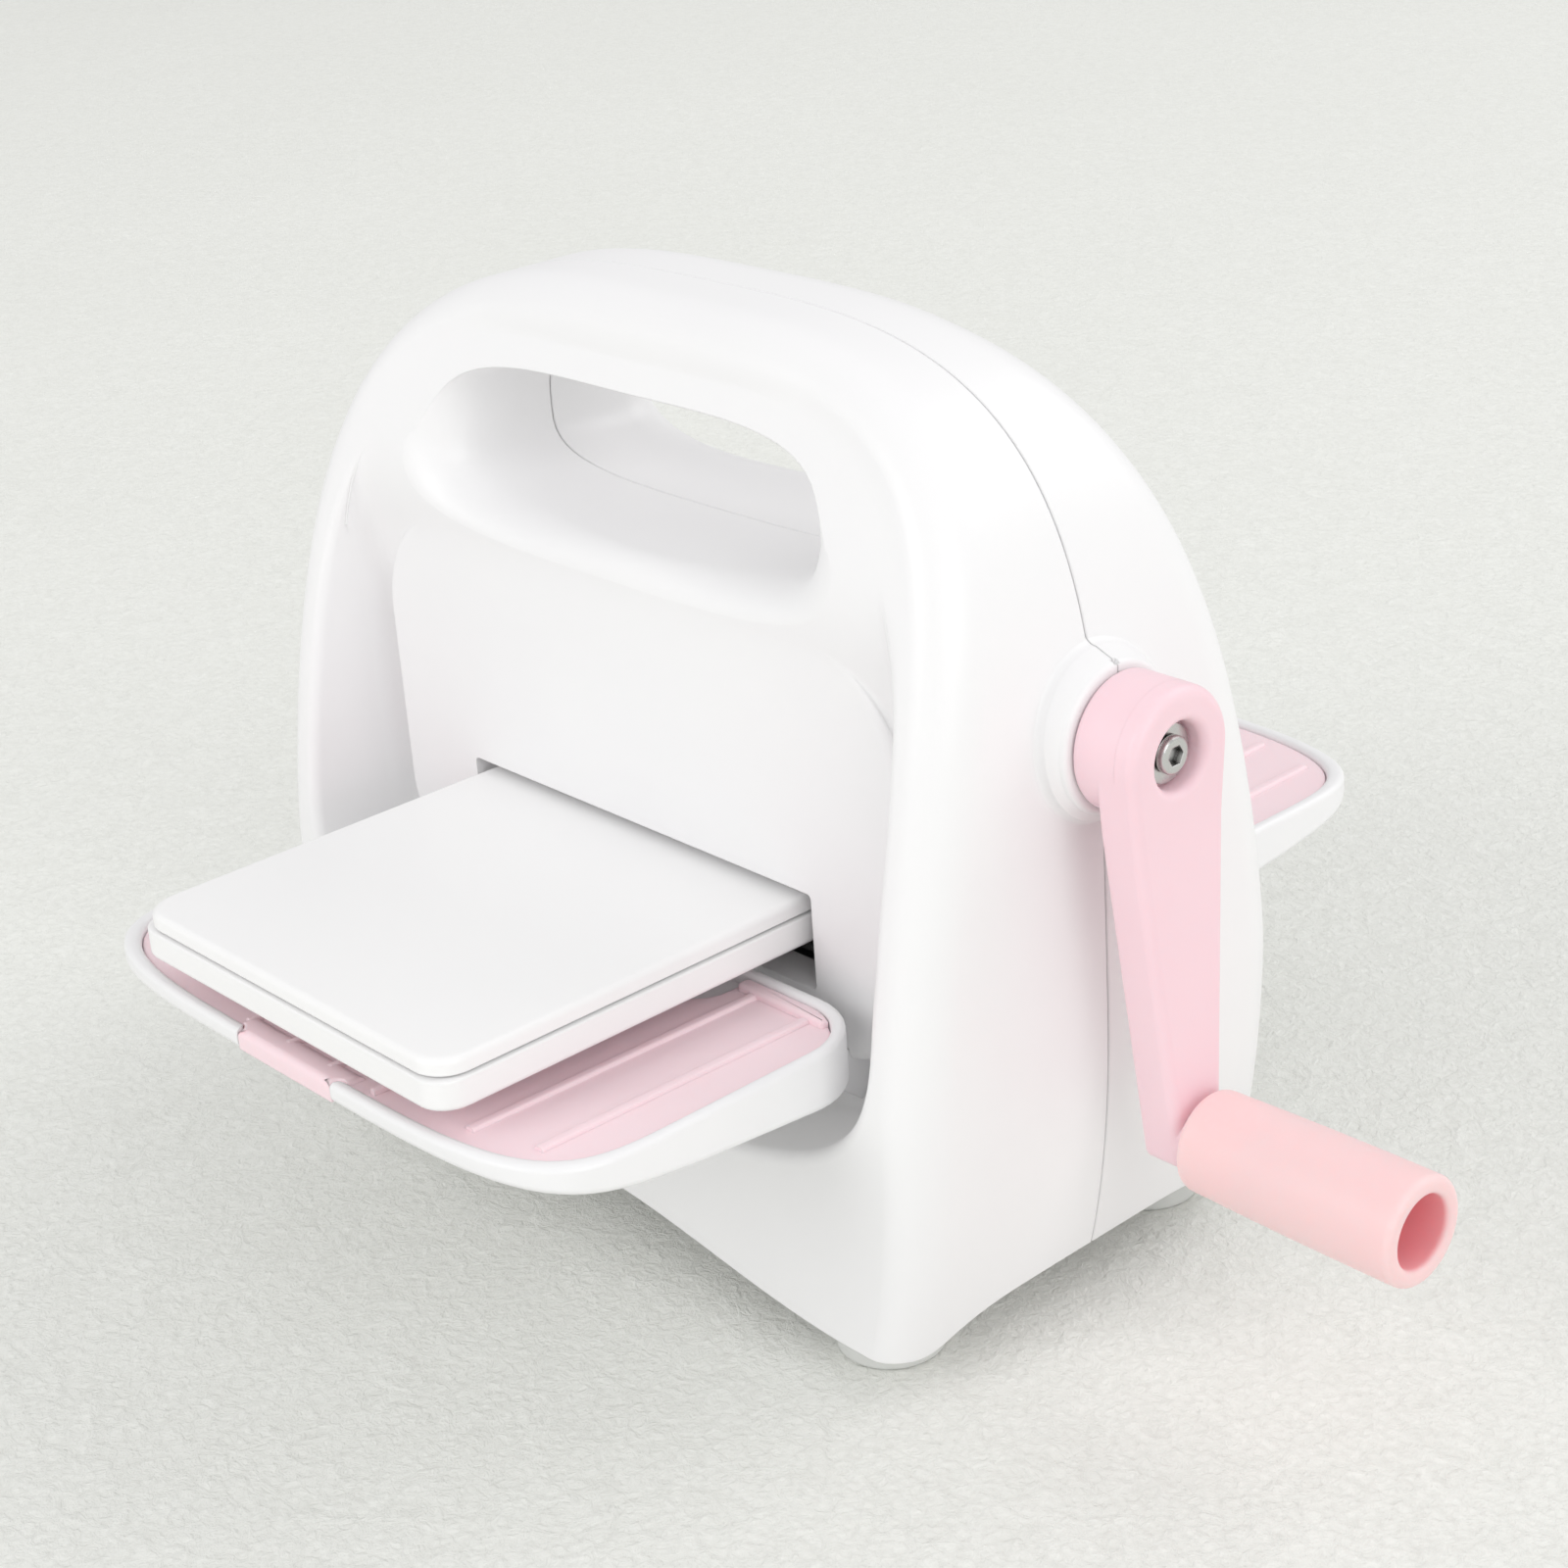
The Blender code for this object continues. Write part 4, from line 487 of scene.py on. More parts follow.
def plastic(name, colour, patch_colour, edge_colour, low, high, glow=0.0, glow_reach=0.0012, deep=None):
    """Moulded plastic: two close colours in patches, a third on edges, gloss from low to high.

    A glow lets light through thin walls, and a deep colour in hollows like the grip's bore is painted
    bounce light.
    """
    made, tree, shader = new_material(name)
    surface = placed_group(tree, mould_grain, Patch_Low=0.0, Patch_High=1.0)
    wear = placed_group(tree, worn_edge, Amount=0.8)
    base = mixed(tree, surface.outputs["Patches"], colour, patch_colour)
    if deep:
        # A deeper, stronger pink in hollows: painted bounce light, as light bouncing inside the bore
        # colours it.
        faces = placed_group(tree, open_surface, Reach=bore_reach)
        base = mixed(tree, faces.outputs["Open"], deep, base)
    tree.links.new(mixed(tree, wear.outputs["Mask"], base, edge_colour), shader.inputs["Base Color"])
    gloss = ranged(tree, surface.outputs["Patches"], 0.0, 1.0, low, high)
    tree.links.new(gloss, shader.inputs["Roughness"])
    normal = softened_normal(tree, surface.outputs["Height"], 0.35, grain_depth)
    tree.links.new(normal, shader.inputs["Normal"])
    for label, value in (
        ("IOR", 1.50), ("Subsurface Weight", glow), ("Subsurface Scale", glow_reach),
        ("Subsurface Radius", glow_colours),
    ):
        shader.inputs[label].default_value = value
    return made


print("the grain of plastic is", 1000 * grain_depth, "mm deep")

# %% Metal
line_depth, shade_reach, painted_shade = 0.00001, 0.0012, (0.030, 0.026, 0.024)


def metal(name, colour, edge_colour, low, high, line_scale=4000.0):
    """Turned or rolled metal, brighter where its edges are worn, with painted shade in its hollows."""
    made, tree, shader = new_material(name)
    shader.inputs["Metallic"].default_value = 1.0
    lines = placed_group(tree, lathe_lines, Line_Scale=line_scale, Low=low, High=high)
    wear = placed_group(tree, worn_edge, Amount=0.7, Radius=edge_round)
    worn = mixed(tree, wear.outputs["Mask"], colour, edge_colour)
    faces = placed_group(tree, open_surface, Reach=shade_reach)
    # Near black in hollows and between parts: painted shade, standing in for occlusion that darkens the
    # metal.
    tree.links.new(mixed(tree, faces.outputs["Open"], painted_shade, worn), shader.inputs["Base Color"])
    tree.links.new(lines.outputs["Roughness"], shader.inputs["Roughness"])
    normal = softened_normal(tree, lines.outputs["Height"], 0.25, line_depth)
    tree.links.new(normal, shader.inputs["Normal"])
    return made


print("grime gathers in hollows up to", 1000 * shade_reach, "mm wide")

# %% All finishes
finishes = {
    "housing": plastic(
        "white_plastic", (0.915, 0.910, 0.915), (0.900, 0.895, 0.903), (0.925, 0.920, 0.922), 0.33, 0.42
    ),
    "tray_rim": plastic(
        "tray_plastic", (0.915, 0.912, 0.918), (0.900, 0.897, 0.905), (0.925, 0.922, 0.925), 0.30, 0.38
    ),
    "pink": plastic(
        "pink_plastic", (0.945, 0.690, 0.745), (0.930, 0.670, 0.730), (0.955, 0.740, 0.785), 0.36, 0.46,
        glow=0.14,
    ),
    "insert_pink": plastic(
        "insert_plastic", (0.980, 0.770, 0.812), (0.970, 0.750, 0.797), (0.985, 0.810, 0.845), 0.38, 0.48,
        glow=0.14,
    ),
    # The grip's bore gets painted bounce light in a deeper pink.
    "grip": plastic(
        "grip_plastic", (0.960, 0.665, 0.670), (0.950, 0.645, 0.650), (0.965, 0.720, 0.715), 0.42, 0.52,
        glow=0.60, glow_reach=0.0040, deep=(0.990, 0.430, 0.470),
    ),
    "plates": plastic(
        "plate_plastic", (0.950, 0.945, 0.944), (0.938, 0.933, 0.934), (0.955, 0.950, 0.950), 0.30, 0.40
    ),
    "feet": plastic(
        "foot_rubber", (0.72, 0.73, 0.71), (0.68, 0.69, 0.67), (0.75, 0.76, 0.74), 0.50, 0.62
    ),
    "steel": metal("steel", (0.62, 0.62, 0.61), (0.75, 0.75, 0.75), 0.20, 0.34),
    "frame_steel": metal("frame_steel", (0.45, 0.46, 0.47), (0.62, 0.62, 0.63), 0.34, 0.48, 1500.0),
    "gear_steel": metal("gear_steel", (0.38, 0.38, 0.39), (0.58, 0.58, 0.58), 0.28, 0.42),
    "bronze": metal("bronze", (0.72, 0.47, 0.22), (0.85, 0.62, 0.36), 0.26, 0.40),
}
print("finishes:", ", ".join(finishes))

# %% Finishing a piece
sharp_angle = math.radians(34)


def piece(name, mesh, body, slot, replaced=(), finish=None):
    """Puts a mesh in the scene as a piece: smooth, finished, riding and replacing its nodes."""
    mesh.name = name
    mesh.transform(Matrix.Translation((machine_shift_x, 0, 0)))
    mesh.materials.clear()
    mesh.materials.append(finishes[finish or slot])
    mesh.polygons.foreach_set("material_index", [0] * len(mesh.polygons))
    mesh.polygons.foreach_set("use_smooth", [True] * len(mesh.polygons))
    mesh.set_sharp_from_angle(angle=sharp_angle)
    guide = bpy.data.objects.new(f"{name}_guide", mesh)
    bpy.context.scene.collection.objects.link(guide)
    weighted = guide.modifiers.new("weighted", "WEIGHTED_NORMAL")
    weighted.keep_sharp = True
    final = evaluated(guide)
    final.name = name
    obj = bpy.data.objects.new(name, final)
    bpy.context.scene.collection.objects.link(obj)
    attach(obj, body)
    if replaced:
        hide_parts(*replaced)
    triangles = sum(len(face.vertices) - 2 for face in final.polygons)
    print(f"{name}: {triangles} triangles")
    return obj


# %% [markdown]
# ## The housing
# The white housing is two mouldings that meet in one upright plane. Each half has a broad
# rounded shoulder, a well that a folded tray lies in, a raised panel round the slot, and a
# tunnel for the fingers. The skin below runs from the parting line over the shoulder, down
# into the well and up on to the panel in one stack of outlines. The floor of the well comes
# forward with height until it melts into the leaning face, so the well fades out at the top.

# %% The arch and its lean
def arch_right(inset, count):
    """The right half of the housing's outline, from the bottom to the top, as (x, z)."""
    side = body_half_width - inset
    z = np.linspace(0.0, arch_centre_z, 80, endpoint=False)
    tuck = ((arch_centre_z - z) / tuck_depth) ** tuck_power
    low = np.stack((side * (1 - tuck) ** (1 / arch_side_power), z), axis=1)
    a = quarter(399)
    across = np.maximum(np.cos(a), 0.0) ** (2 / arch_side_power)
    above = np.sin(a) ** (2 / arch_top_power)
    high_z = arch_centre_z + (body_height - inset - arch_centre_z) * above
    return evenly(np.vstack((low, np.stack((side * across, high_z), axis=1))), count)


def lean_depth(z):
    """How far the housing's face stands from the parting line, before its edge is rounded."""
    rise = np.maximum(z - lean_start_z, 0.0) / (body_height - lean_start_z)
    return body_half_depth - lean_back * rise**lean_power


edge_line = arch_right(0.0, 400)
edge_run = np.gradient(edge_line, axis=0)
edge_up = -edge_run[:, 0] / np.linalg.norm(edge_run, axis=1)
edge_up[edge_line[:, 1] < arch_centre_z] = 0.0
pulled_z = edge_line[:, 1] - cad_fillet * edge_up


def face_depth(z):
    """Depth of the finished face at this height, inside the rounded edge."""
    return np.interp(z, pulled_z, lean_depth(edge_line[:, 1]))


def well_floor(z):
    """Depth of the well's floor: it comes forward with height and melts into the face."""
    rise = np.maximum(z - ramp_start_z, 0.0) / ramp_run
    ramp, face = well_floor_y + panel_rise * rise**2, face_depth(z)
    overlap = np.maximum(ramp_blend - np.abs(ramp - face), 0.0) / ramp_blend
    return np.minimum(ramp, face) - overlap**2 * ramp_blend / 4


def panel_depth(z):
    """Depth of the panel's flat face, and of the floor where that stands further out."""
    floor = well_floor(z)
    overlap = np.maximum(panel_soft - np.abs(floor - panel_face_y), 0.0) / panel_soft
    return np.maximum(floor, panel_face_y) + overlap**2 * panel_soft / 4


print("the face stands", round(1000 * float(face_depth(0.02)), 1), "mm out at the bottom and",
      round(1000 * float(face_depth(0.137)), 1), "mm at the top")


# %% The skin of one half
def ring(points, depth):
    """Outline points (x, z) and their depth as points in space, depth counted along Y."""
    return np.stack((points[:, 0], np.broadcast_to(depth, len(points)), points[:, 1]), axis=1)


def shell_rings(inset, steps):
    """Rings of one half of the housing. An inset above zero gives its hollow inside."""
    right = arch_right(inset, side_count)
    corner_x = right[0, 0]
    along = np.linspace(0.0, corner_x, bottom_count, endpoint=False)
    bottom = np.stack((along, np.zeros(bottom_count)), axis=1)
    half = np.vstack((bottom, right))
    outer = np.vstack((half, half[-2:0:-1] * (-1, 1)))
    pull = outward(outer)
    pull[outer[:, 1] < arch_centre_z, 1] = 0.0
    flat = outer[:, 1] <= 0.0
    pull[flat] = np.stack((outer[flat, 0] / corner_x, np.zeros(flat.sum())), axis=1)

    across, deep = crest_inset - inset, cad_fillet - inset
    crest = outer - across * pull
    top = face_depth(crest[:, 1]) - inset
    rings = []
    if inset:
        rings.append(ring(outer, -wall))
    else:
        rings.append(ring(outer - groove * pull, seam))
        rings.append(ring(outer, seam + groove))
    rings.append(ring(outer, (top - deep) / 2))
    for a in quarter(steps):
        rings.append(ring(outer - across * (1 - math.cos(a)) * pull, top - deep * (1 - math.sin(a))))

    fine = superellipse(
        well_half_width + inset, well_up + inset, well_down + inset, well_centre_z,
        (well_up_power, well_down_power), 900,
    )
    well = seen_from_middle(fine, outer)
    out = outward(well)
    rim = max(well_rim_round - inset, groove)

    # How far the floor lies below the leaning face fades to nothing, and its two rounds with it.
    fall = face_depth(well[:, 1]) - well_floor(well[:, 1])
    share = np.minimum(fall / (well_rim_round + well_foot_round), 1.0)
    for a in quarter(steps):
        at = well + rim * (1 - math.sin(a)) * out
        rings.append(ring(at, face_depth(at[:, 1]) - inset - share * well_rim_round * (1 - math.cos(a))))
    for away, climb in rounding(well_foot_round, steps):
        at = well - (well_draft + away) * out
        rings.append(ring(at, well_floor(at[:, 1]) - inset + share * climb))

    outline = rounded_box(
        panel_half_width, panel_bottom_z, panel_top_z, panel_bottom_corner, panel_top_corner, 60
    )
    panel = seen_from_middle(evenly(np.vstack((outline, outline[:1])), 900)[:-1], outer)
    panel_out = outward(panel)
    foot = panel + panel_foot_round * panel_out
    last = rings[-1][:, (0, 2)]
    for t in np.linspace(0.0, 1.0, steps + 1)[1:]:
        at = last + t * (foot - last)
        rings.append(ring(at, well_floor(at[:, 1]) - inset))
    if not inset:
        rise = panel_depth(panel[:, 1]) - well_floor(panel[:, 1])
        share = np.minimum(rise / (panel_foot_round + panel_edge_round), 1.0)
        for climb, away in rounding(panel_foot_round, steps)[1:]:
            at = panel + away * panel_out
            rings.append(ring(at, well_floor(at[:, 1]) + share * climb))
        for away, drop in rounding(panel_edge_round, steps):
            at = panel - (groove / 2 + away) * panel_out
            rings.append(ring(at, panel_depth(at[:, 1]) - share * drop))
    last = rings[-1][:, (0, 2)]
    for t in (0.95, 0.90, 0.84, 0.77, 0.68, 0.55, 0.40, 0.20):
        at = slot_middle + t * (last - slot_middle)
        rings.append(ring(at, well_floor(at[:, 1]) - inset if inset else panel_depth(at[:, 1])))
    return rings


slot_middle = np.array((0.0, (slot_low_z + slot_top_z) / 2))
shell_skin = skin("shell_skin", shell_rings(0.0, 8))
print("skin of one half:", len(shell_skin.polygons), "faces")

# %% [markdown]
# ## What is cut from the housing and what is added to it
# The mould's cores leave a hollow inside of even wall, the finger tunnel, the slot and the
# lower edge that arches between the corners. The boss for the crank is blended into the wall.
# Booleans make the hollow first. Then they add all the rest in one pass and cut in another.

# %% Tunnel and arches
overrun = 0.0020
far_y = body_half_depth + cad_fillet


def tunnel(name, extra, count, steps):
    """The finger tunnel. Each point of its section runs out in a soft curve to the face."""
    down = tunnel_middle_z - tunnel_floor_z + extra
    up = tunnel_roof_z - tunnel_middle_z + extra

    def section(more, flare):
        return superellipse(
            tunnel_half_width + extra + more + flare * tunnel_side_flare,
            up + more + flare * tunnel_roof_flare, down + more + flare * tunnel_floor_flare,
            tunnel_middle_z, (tunnel_power, tunnel_power), count,
        )

    inner, mouth = section(0.0, 0.0), section(0.0, 1.0)
    reach = panel_depth(mouth[:, 1]) + mouth_clear
    rings = [ring(inner, -overrun), ring(inner, 0.0)]
    if not extra:
        wide = section(groove, 0.0)
        rings = [ring(wide, -overrun), ring(wide, seam), ring(inner, seam + groove)]
    flare = np.linalg.norm(mouth - inner, axis=1)
    for a in quarter(steps):
        at = inner + (1 - math.cos(a)) * (mouth - inner)
        rings.append(ring(at, reach - flare * (1 - math.sin(a))))
    rings.append(ring(mouth + groove * outward(mouth), far_y))
    return skin(name, rings)


front_arch_rise, front_arch_half, front_arch_power = 0.0065, 0.0620, 1.0
side_arch_rise, side_arch_half, side_arch_power = 0.0037, 0.0360, 3.0


def under_arch(name, half, rise, power, lift, along_x):
    """What is cut away below the housing, so that it stands on its corners."""
    across = np.linspace(-half, half, 61)
    height = corner_z + lift + rise * (1 + np.cos(math.pi * np.abs(across / half) ** power)) / 2
    reach = 3 * body_half_width
    curve = np.vstack(
        (
            [(-reach, -overrun), (reach, -overrun), (reach, corner_z + lift)],
            np.stack((across, height), axis=1)[::-1],
            [(-reach, corner_z + lift)],
        )
    )
    if along_x:
        rings = [np.array([(x, y, z) for y, z in curve]) for x in (-reach, reach)]
    else:
        rings = [np.array([(x, y, z) for x, z in curve]) for y in (-reach, reach)]
    return skin(name, rings)


def under_arches(lift):
    """Both arches of the lower edge, raised by the wall for the hollow inside."""
    return [
        under_arch("front_arch", front_arch_half, front_arch_rise, front_arch_power, lift, False),
        under_arch("side_arch", side_arch_half, side_arch_rise, side_arch_power, lift, True),
    ]


hollow = skin("hollow", shell_rings(wall, 3))
hollow = combined(hollow, "DIFFERENCE", [tunnel("tunnel_back", wall, 60, 8), *under_arches(wall)])
shell = combined(
    shell_skin, "DIFFERENCE", [hollow, tunnel("tunnel", 0.0, 120, 24), *under_arches(0.0)]
)
print("hollowed half:", len(shell.polygons), "faces")

# %% The boss of the crank
boss_radius, boss_end_radius, boss_blend, boss_end_round = 0.0124, 0.0112, 0.0015, 0.0009
boss_root_x, boss_end_x = 0.0715, 0.0790
bush_outer = 0.0059
sleeve_length, sleeve_radius = 0.0080, 0.0095


def wall_x(z):
    """Where the outside of the side wall stands at this height."""
    return np.interp(z, edge_line[:, 1], edge_line[:, 0])


def boss(name):
    """A round boss, each point of its foot led in a soft curve to the leaning wall."""
    a = np.linspace(0.0, 2 * math.pi, 96, endpoint=False)
    across, up = np.sin(a), np.cos(a)

    def at(radius, x):
        return np.stack((np.broadcast_to(x, len(a)), radius * across, crank_z + radius * up), axis=1)

    wide = boss_radius + boss_blend
    wide_x = wall_x(crank_z + wide * up) - groove
    neck_x = wall_x(crank_z + boss_radius * up)
    rings = [at(wide + groove, boss_root_x), at(wide + groove, wide_x)]
    for t in np.linspace(0.0, 1.0, 9):
        radius = (1 - t) ** 2 * wide + (1 - (1 - t) ** 2) * boss_radius
        x = (1 - t**2) * (wide_x * (1 - t) + neck_x * t) + t**2 * (neck_x + boss_blend)
        rings.append(at(radius, x))
    for inset, drop in rounding(boss_end_round, 6):
        rings.append(at(boss_end_radius - inset, boss_end_x - drop))
    return skin(name, rings)


def other_half():
    """Everything on the far side of the parting line."""
    return block("other_half", (-far_y, -far_y, 0.0), (2 * body_half_width, seam, 2 * body_height))


sleeve_x = body_half_width - wall - sleeve_length
print("the wall beside the crank stands", round(1000 * float(wall_x(crank_z)), 1), "mm from the middle")

# %% Posts, pads and hinge ears
screw_x, screw_heights = 0.0625, (0.0200, 0.1200)
post_shorts, post_radius = (0.0012, 0.0045), 0.0036
foot_x, foot_y, foot_height, pad_radius = 0.0575, 0.0287, 0.0050, 0.0092
stud_radius, fit = 0.0028, 0.0003
hinge_y, hinge_z, ear_radius, ear_drop = 0.0308, 0.0465, 0.0032, 0.0029
ear_root_low_z, ear_root_high_z = 0.0310, 0.0415
ear_inner_x, ear_outer_x, pin_radius = 0.0413, 0.0463, 0.00125
hands = (-1, 1)


def ear(name, x_low, x_high):
    """A hinge ear: a round eye on a root that grows out of the well's floor."""
    a = np.linspace(math.pi, 0.0, 20)
    arc = np.stack((hinge_y + ear_radius * np.cos(a), hinge_z + ear_radius * np.sin(a)), axis=1)
    inside = well_floor_y - wall / 2
    root = [
        (hinge_y + ear_radius, hinge_z - ear_drop), (inside, ear_root_low_z),
        (inside, ear_root_high_z), (hinge_y - ear_radius, hinge_z - ear_drop),
    ]
    outline = np.vstack((arc, root))
    return skin(name, [np.array([(x, y, z) for y, z in outline]) for x in (x_low, x_high)])


sleeve = bar("sleeve", sleeve_radius, (sleeve_x, 0, crank_z), (boss_root_x + wall, 0, crank_z))
additions = [boss("boss"), sleeve]
for x in (-screw_x, screw_x):
    for z, short in zip(screw_heights, post_shorts):
        reach = float(lean_depth(z)) - short
        additions.append(bar("post", post_radius, (x, -overrun, z), (x, reach, z), 32))
pad_top = corner_z + side_arch_rise + wall
for hand in hands:
    x = hand * foot_x
    additions.append(bar("pad", pad_radius, (x, foot_y, foot_height + fit), (x, foot_y, pad_top)))
    additions.append(ear("ear", *sorted((hand * ear_inner_x, hand * ear_outer_x))))
shell = combined(shell, "UNION", additions)

slot_corner, boss_notch = 0.0008, (0.0010, 0.0005)
slot_outline = rounded_box(slot_half_width, slot_low_z, slot_top_z, slot_corner, slot_corner, 6)
crank_hole = [(x, 0, crank_z) for x in (sleeve_x - overrun, boss_end_x + overrun)]
cuts = [
    other_half(),
    bar("crank_hole", bush_outer + fit, *crank_hole),
    skin("slot", [ring(slot_outline, depth) for depth in (well_floor_y - wall - overrun, far_y)]),
    block(
        "boss_notch", (boss_end_x - boss_notch[0], -overrun, crank_z + boss_end_radius - boss_notch[1]),
        (boss_end_x + overrun, boss_notch[1], crank_z + boss_radius + overrun),
    ),
]
for hand in hands:
    low, high = hand * ear_inner_x - hand * overrun, hand * ear_outer_x + hand * overrun
    cuts.append(bar("pin_hole", pin_radius + fit, (low, hinge_y, hinge_z), (high, hinge_y, hinge_z), 24))
    stud_hole = [(hand * foot_x, foot_y, z) for z in (foot_height - overrun, pad_top + overrun)]
    cuts.append(bar("stud_hole", stud_radius + fit, *stud_hole, 24))
shell = combined(shell, "DIFFERENCE", cuts)
print("half with its boss, posts and ears:", len(shell.polygons), "faces")

# %% The two halves
screw_radius, screw_reach, seat_y, counterbore_radius = 0.00125, 0.0090, 0.0080, 0.0026
blind_extra = 0.0030
front_shell = shell.copy()
front_shell.transform(Matrix.Diagonal((1, -1, 1, 1)))
front_shell.flip_normals()
front_cuts, rear_cuts = [], []
blind = -screw_reach - blind_extra
for x in (-screw_x, screw_x):
    for z in screw_heights:
        front_cuts.append(bar("tap", screw_radius + fit, (x, overrun, z), (x, blind, z), 24))
        rear_cuts.append(bar("way", screw_radius + fit, (x, -overrun, z), (x, seat_y + overrun, z), 24))
        rear_cuts.append(bar("counterbore", counterbore_radius, (x, seat_y, z), (x, far_y, z), 32))
for where, half, holes in (("front", front_shell, front_cuts), ("rear", shell, rear_cuts)):
    half = combined(half, "DIFFERENCE", holes)
    piece(f"housing_{where}", half, "housing", "housing", [f"{where}_shell"])

# %% [markdown]
# ## Turned pieces
# Rollers, screws, washers, feet and the grip are all made the same way in a workshop: a
# profile goes round an axis. Here one Geometry Nodes tree does it. The profile is drawn as a
# chain of edges, becomes a curve, and is swept along a circle.

# %% What every tree needs
def new_tree(name, inputs):
    """An empty Geometry Nodes tree with named inputs, given as (name, socket type)."""
    tree = bpy.data.node_groups.new(name, "GeometryNodeTree")
    for label, kind in inputs:
        tree.interface.new_socket(label, in_out="INPUT", socket_type=kind)
    tree.interface.new_socket("Piece", in_out="OUTPUT", socket_type="NodeSocketGeometry")
    return tree, tree.nodes.new("NodeGroupInput"), tree.nodes.new("NodeGroupOutput")


def ending(tree, start, end, geometry):
    """Every tree ends in plain geometry with its finish."""
    real = node(tree, "GeometryNodeRealizeInstances", ((0, geometry),))
    finish = node(
        tree, "GeometryNodeSetMaterial",
        (("Geometry", real.outputs[0]), ("Material", start.outputs["Finish"])),
    )
    tree.links.new(finish.outputs[0], end.inputs[0])
    return tree


print("tree helpers: new_tree, ending")


# %% A tree that turns a profile
def turning_tree():
    """A profile swept along a small guide circle, whose radius turned() takes off the profile's."""
    tree, start, end = new_tree(
        "turned_profile",
        (("Profile", "NodeSocketGeometry"), ("Sides", "NodeSocketInt"),
         ("Guide Radius", "NodeSocketFloat"), ("Merge Distance", "NodeSocketFloat"),
         ("Finish", "NodeSocketMaterial")),
    )
    line = node(tree, "GeometryNodeMeshToCurve", ((0, start.outputs["Profile"]),))
    guide = node(
        tree, "GeometryNodeCurvePrimitiveCircle",
        (("Resolution", start.outputs["Sides"]), ("Radius", start.outputs["Guide Radius"])),
    )
    swept = node(
        tree, "GeometryNodeCurveToMesh",
        (("Curve", guide.outputs[0]), ("Profile Curve", line.outputs[0])),
    )
    closed = node(
        tree, "GeometryNodeMergeByDistance",
        (("Geometry", swept.outputs[0]), ("Distance", start.outputs["Merge Distance"])),
    )
    return ending(tree, start, end, closed.outputs[0])


turning = turning_tree()
print(turning.name, "has", len(turning.nodes), "nodes")


# %% Turned meshes
def grown(mesh, tree, slot, **values):
    """The mesh that a tree makes from a start mesh, its inputs set by their identifiers."""
    obj = bpy.data.objects.new(mesh.name, mesh)
    bpy.context.scene.collection.objects.link(obj)
    modifier = obj.modifiers.new("tree", "NODES")
    modifier.node_group = tree
    names = {item.name: item.identifier for item in tree.interface.items_tree if item.in_out == "INPUT"}
    modifier[names["Finish"]] = finishes[slot]
    for label, value in values.items():
        modifier[names[label.replace("_", " ")]] = value
    return oriented(evaluated(obj))


guide_radius, merge_distance = 0.001, 0.000001
along_x = Matrix.Rotation(math.pi / 2, 4, "Y")


def eased(points, size, steps=5, closed=False):
    """Rounds each corner of a chain of points. Size is one length, or one for each point."""
    points = [np.array(point, float) for point in points]
    sizes = [size] * len(points) if isinstance(size, float) else size
    made = []
    for i, point in enumerate(points):
        ends = not closed and i in (0, len(points) - 1)
        if ends or not sizes[i]:
            made.append(point)
            continue
        before, after = points[i - 1] - point, points[(i + 1) % len(points)] - point
        first = point + before * min(sizes[i] / np.linalg.norm(before), 0.45)
        last = point + after * min(sizes[i] / np.linalg.norm(after), 0.45)
        for t in np.linspace(0.0, 1.0, steps):
            made.append((1 - t) ** 2 * first + 2 * t * (1 - t) * point + t**2 * last)
    return made


def turned(name, profile, slot, place, sides=64, closed=False):
    """A turned mesh. The profile is (radius, height); place moves its axis from Z."""
    points = [(radius - guide_radius, -height, 0.0) for radius, height in profile]
    edges = [(i, i + 1) for i in range(len(points) - 1)]
    if closed:
        edges.append((len(points) - 1, 0))
    mesh = bpy.data.meshes.new(name)
    mesh.from_pydata(points, edges, [])
    made = grown(mesh, turning, slot, Sides=sides, Guide_Radius=guide_radius, Merge_Distance=merge_distance)
    made.transform(place)
    return made


print("turned meshes are made round Z and then laid along X")

# %% Rollers
roller_radius, journal_radius, roller_half, roller_round = 0.0080, 0.0040, 0.0420, 0.0006
for name in ("upper_roller", "lower_roller"):
    low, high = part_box(name)
    axis = Matrix.Translation((0, 0, (low.z + high.z) / 2)) @ along_x
    left, right = low.x - machine_shift_x, high.x - machine_shift_x
    profile = [
        (0.0, right), (journal_radius, right), (journal_radius, roller_half),
        (roller_radius, roller_half), (roller_radius, -roller_half),
        (journal_radius, -roller_half), (journal_radius, left), (0.0, left),
    ]
    mesh = turned(name, eased(profile, roller_round), "steel", axis)
    piece(f"turned_{name}", mesh, f"{name}_set", "steel", [name])

# %% Feet, one shape on four corners
def copies_tree():
    """Copies of one mesh on the corners of a rectangle."""
    tree, start, end = new_tree(
        "copies_on_corners",
        (("Shape", "NodeSocketGeometry"), ("Width", "NodeSocketFloat"), ("Depth", "NodeSocketFloat"),
         ("Finish", "NodeSocketMaterial")),
    )
    corners = node(
        tree, "GeometryNodeMeshGrid",
        (("Size X", start.outputs["Width"]), ("Size Y", start.outputs["Depth"]),
         ("Vertices X", 2), ("Vertices Y", 2)),
    )
    copies = node(
        tree, "GeometryNodeInstanceOnPoints",
        (("Points", corners.outputs["Mesh"]), ("Instance", start.outputs["Shape"])),
    )
    return ending(tree, start, end, copies.outputs[0])


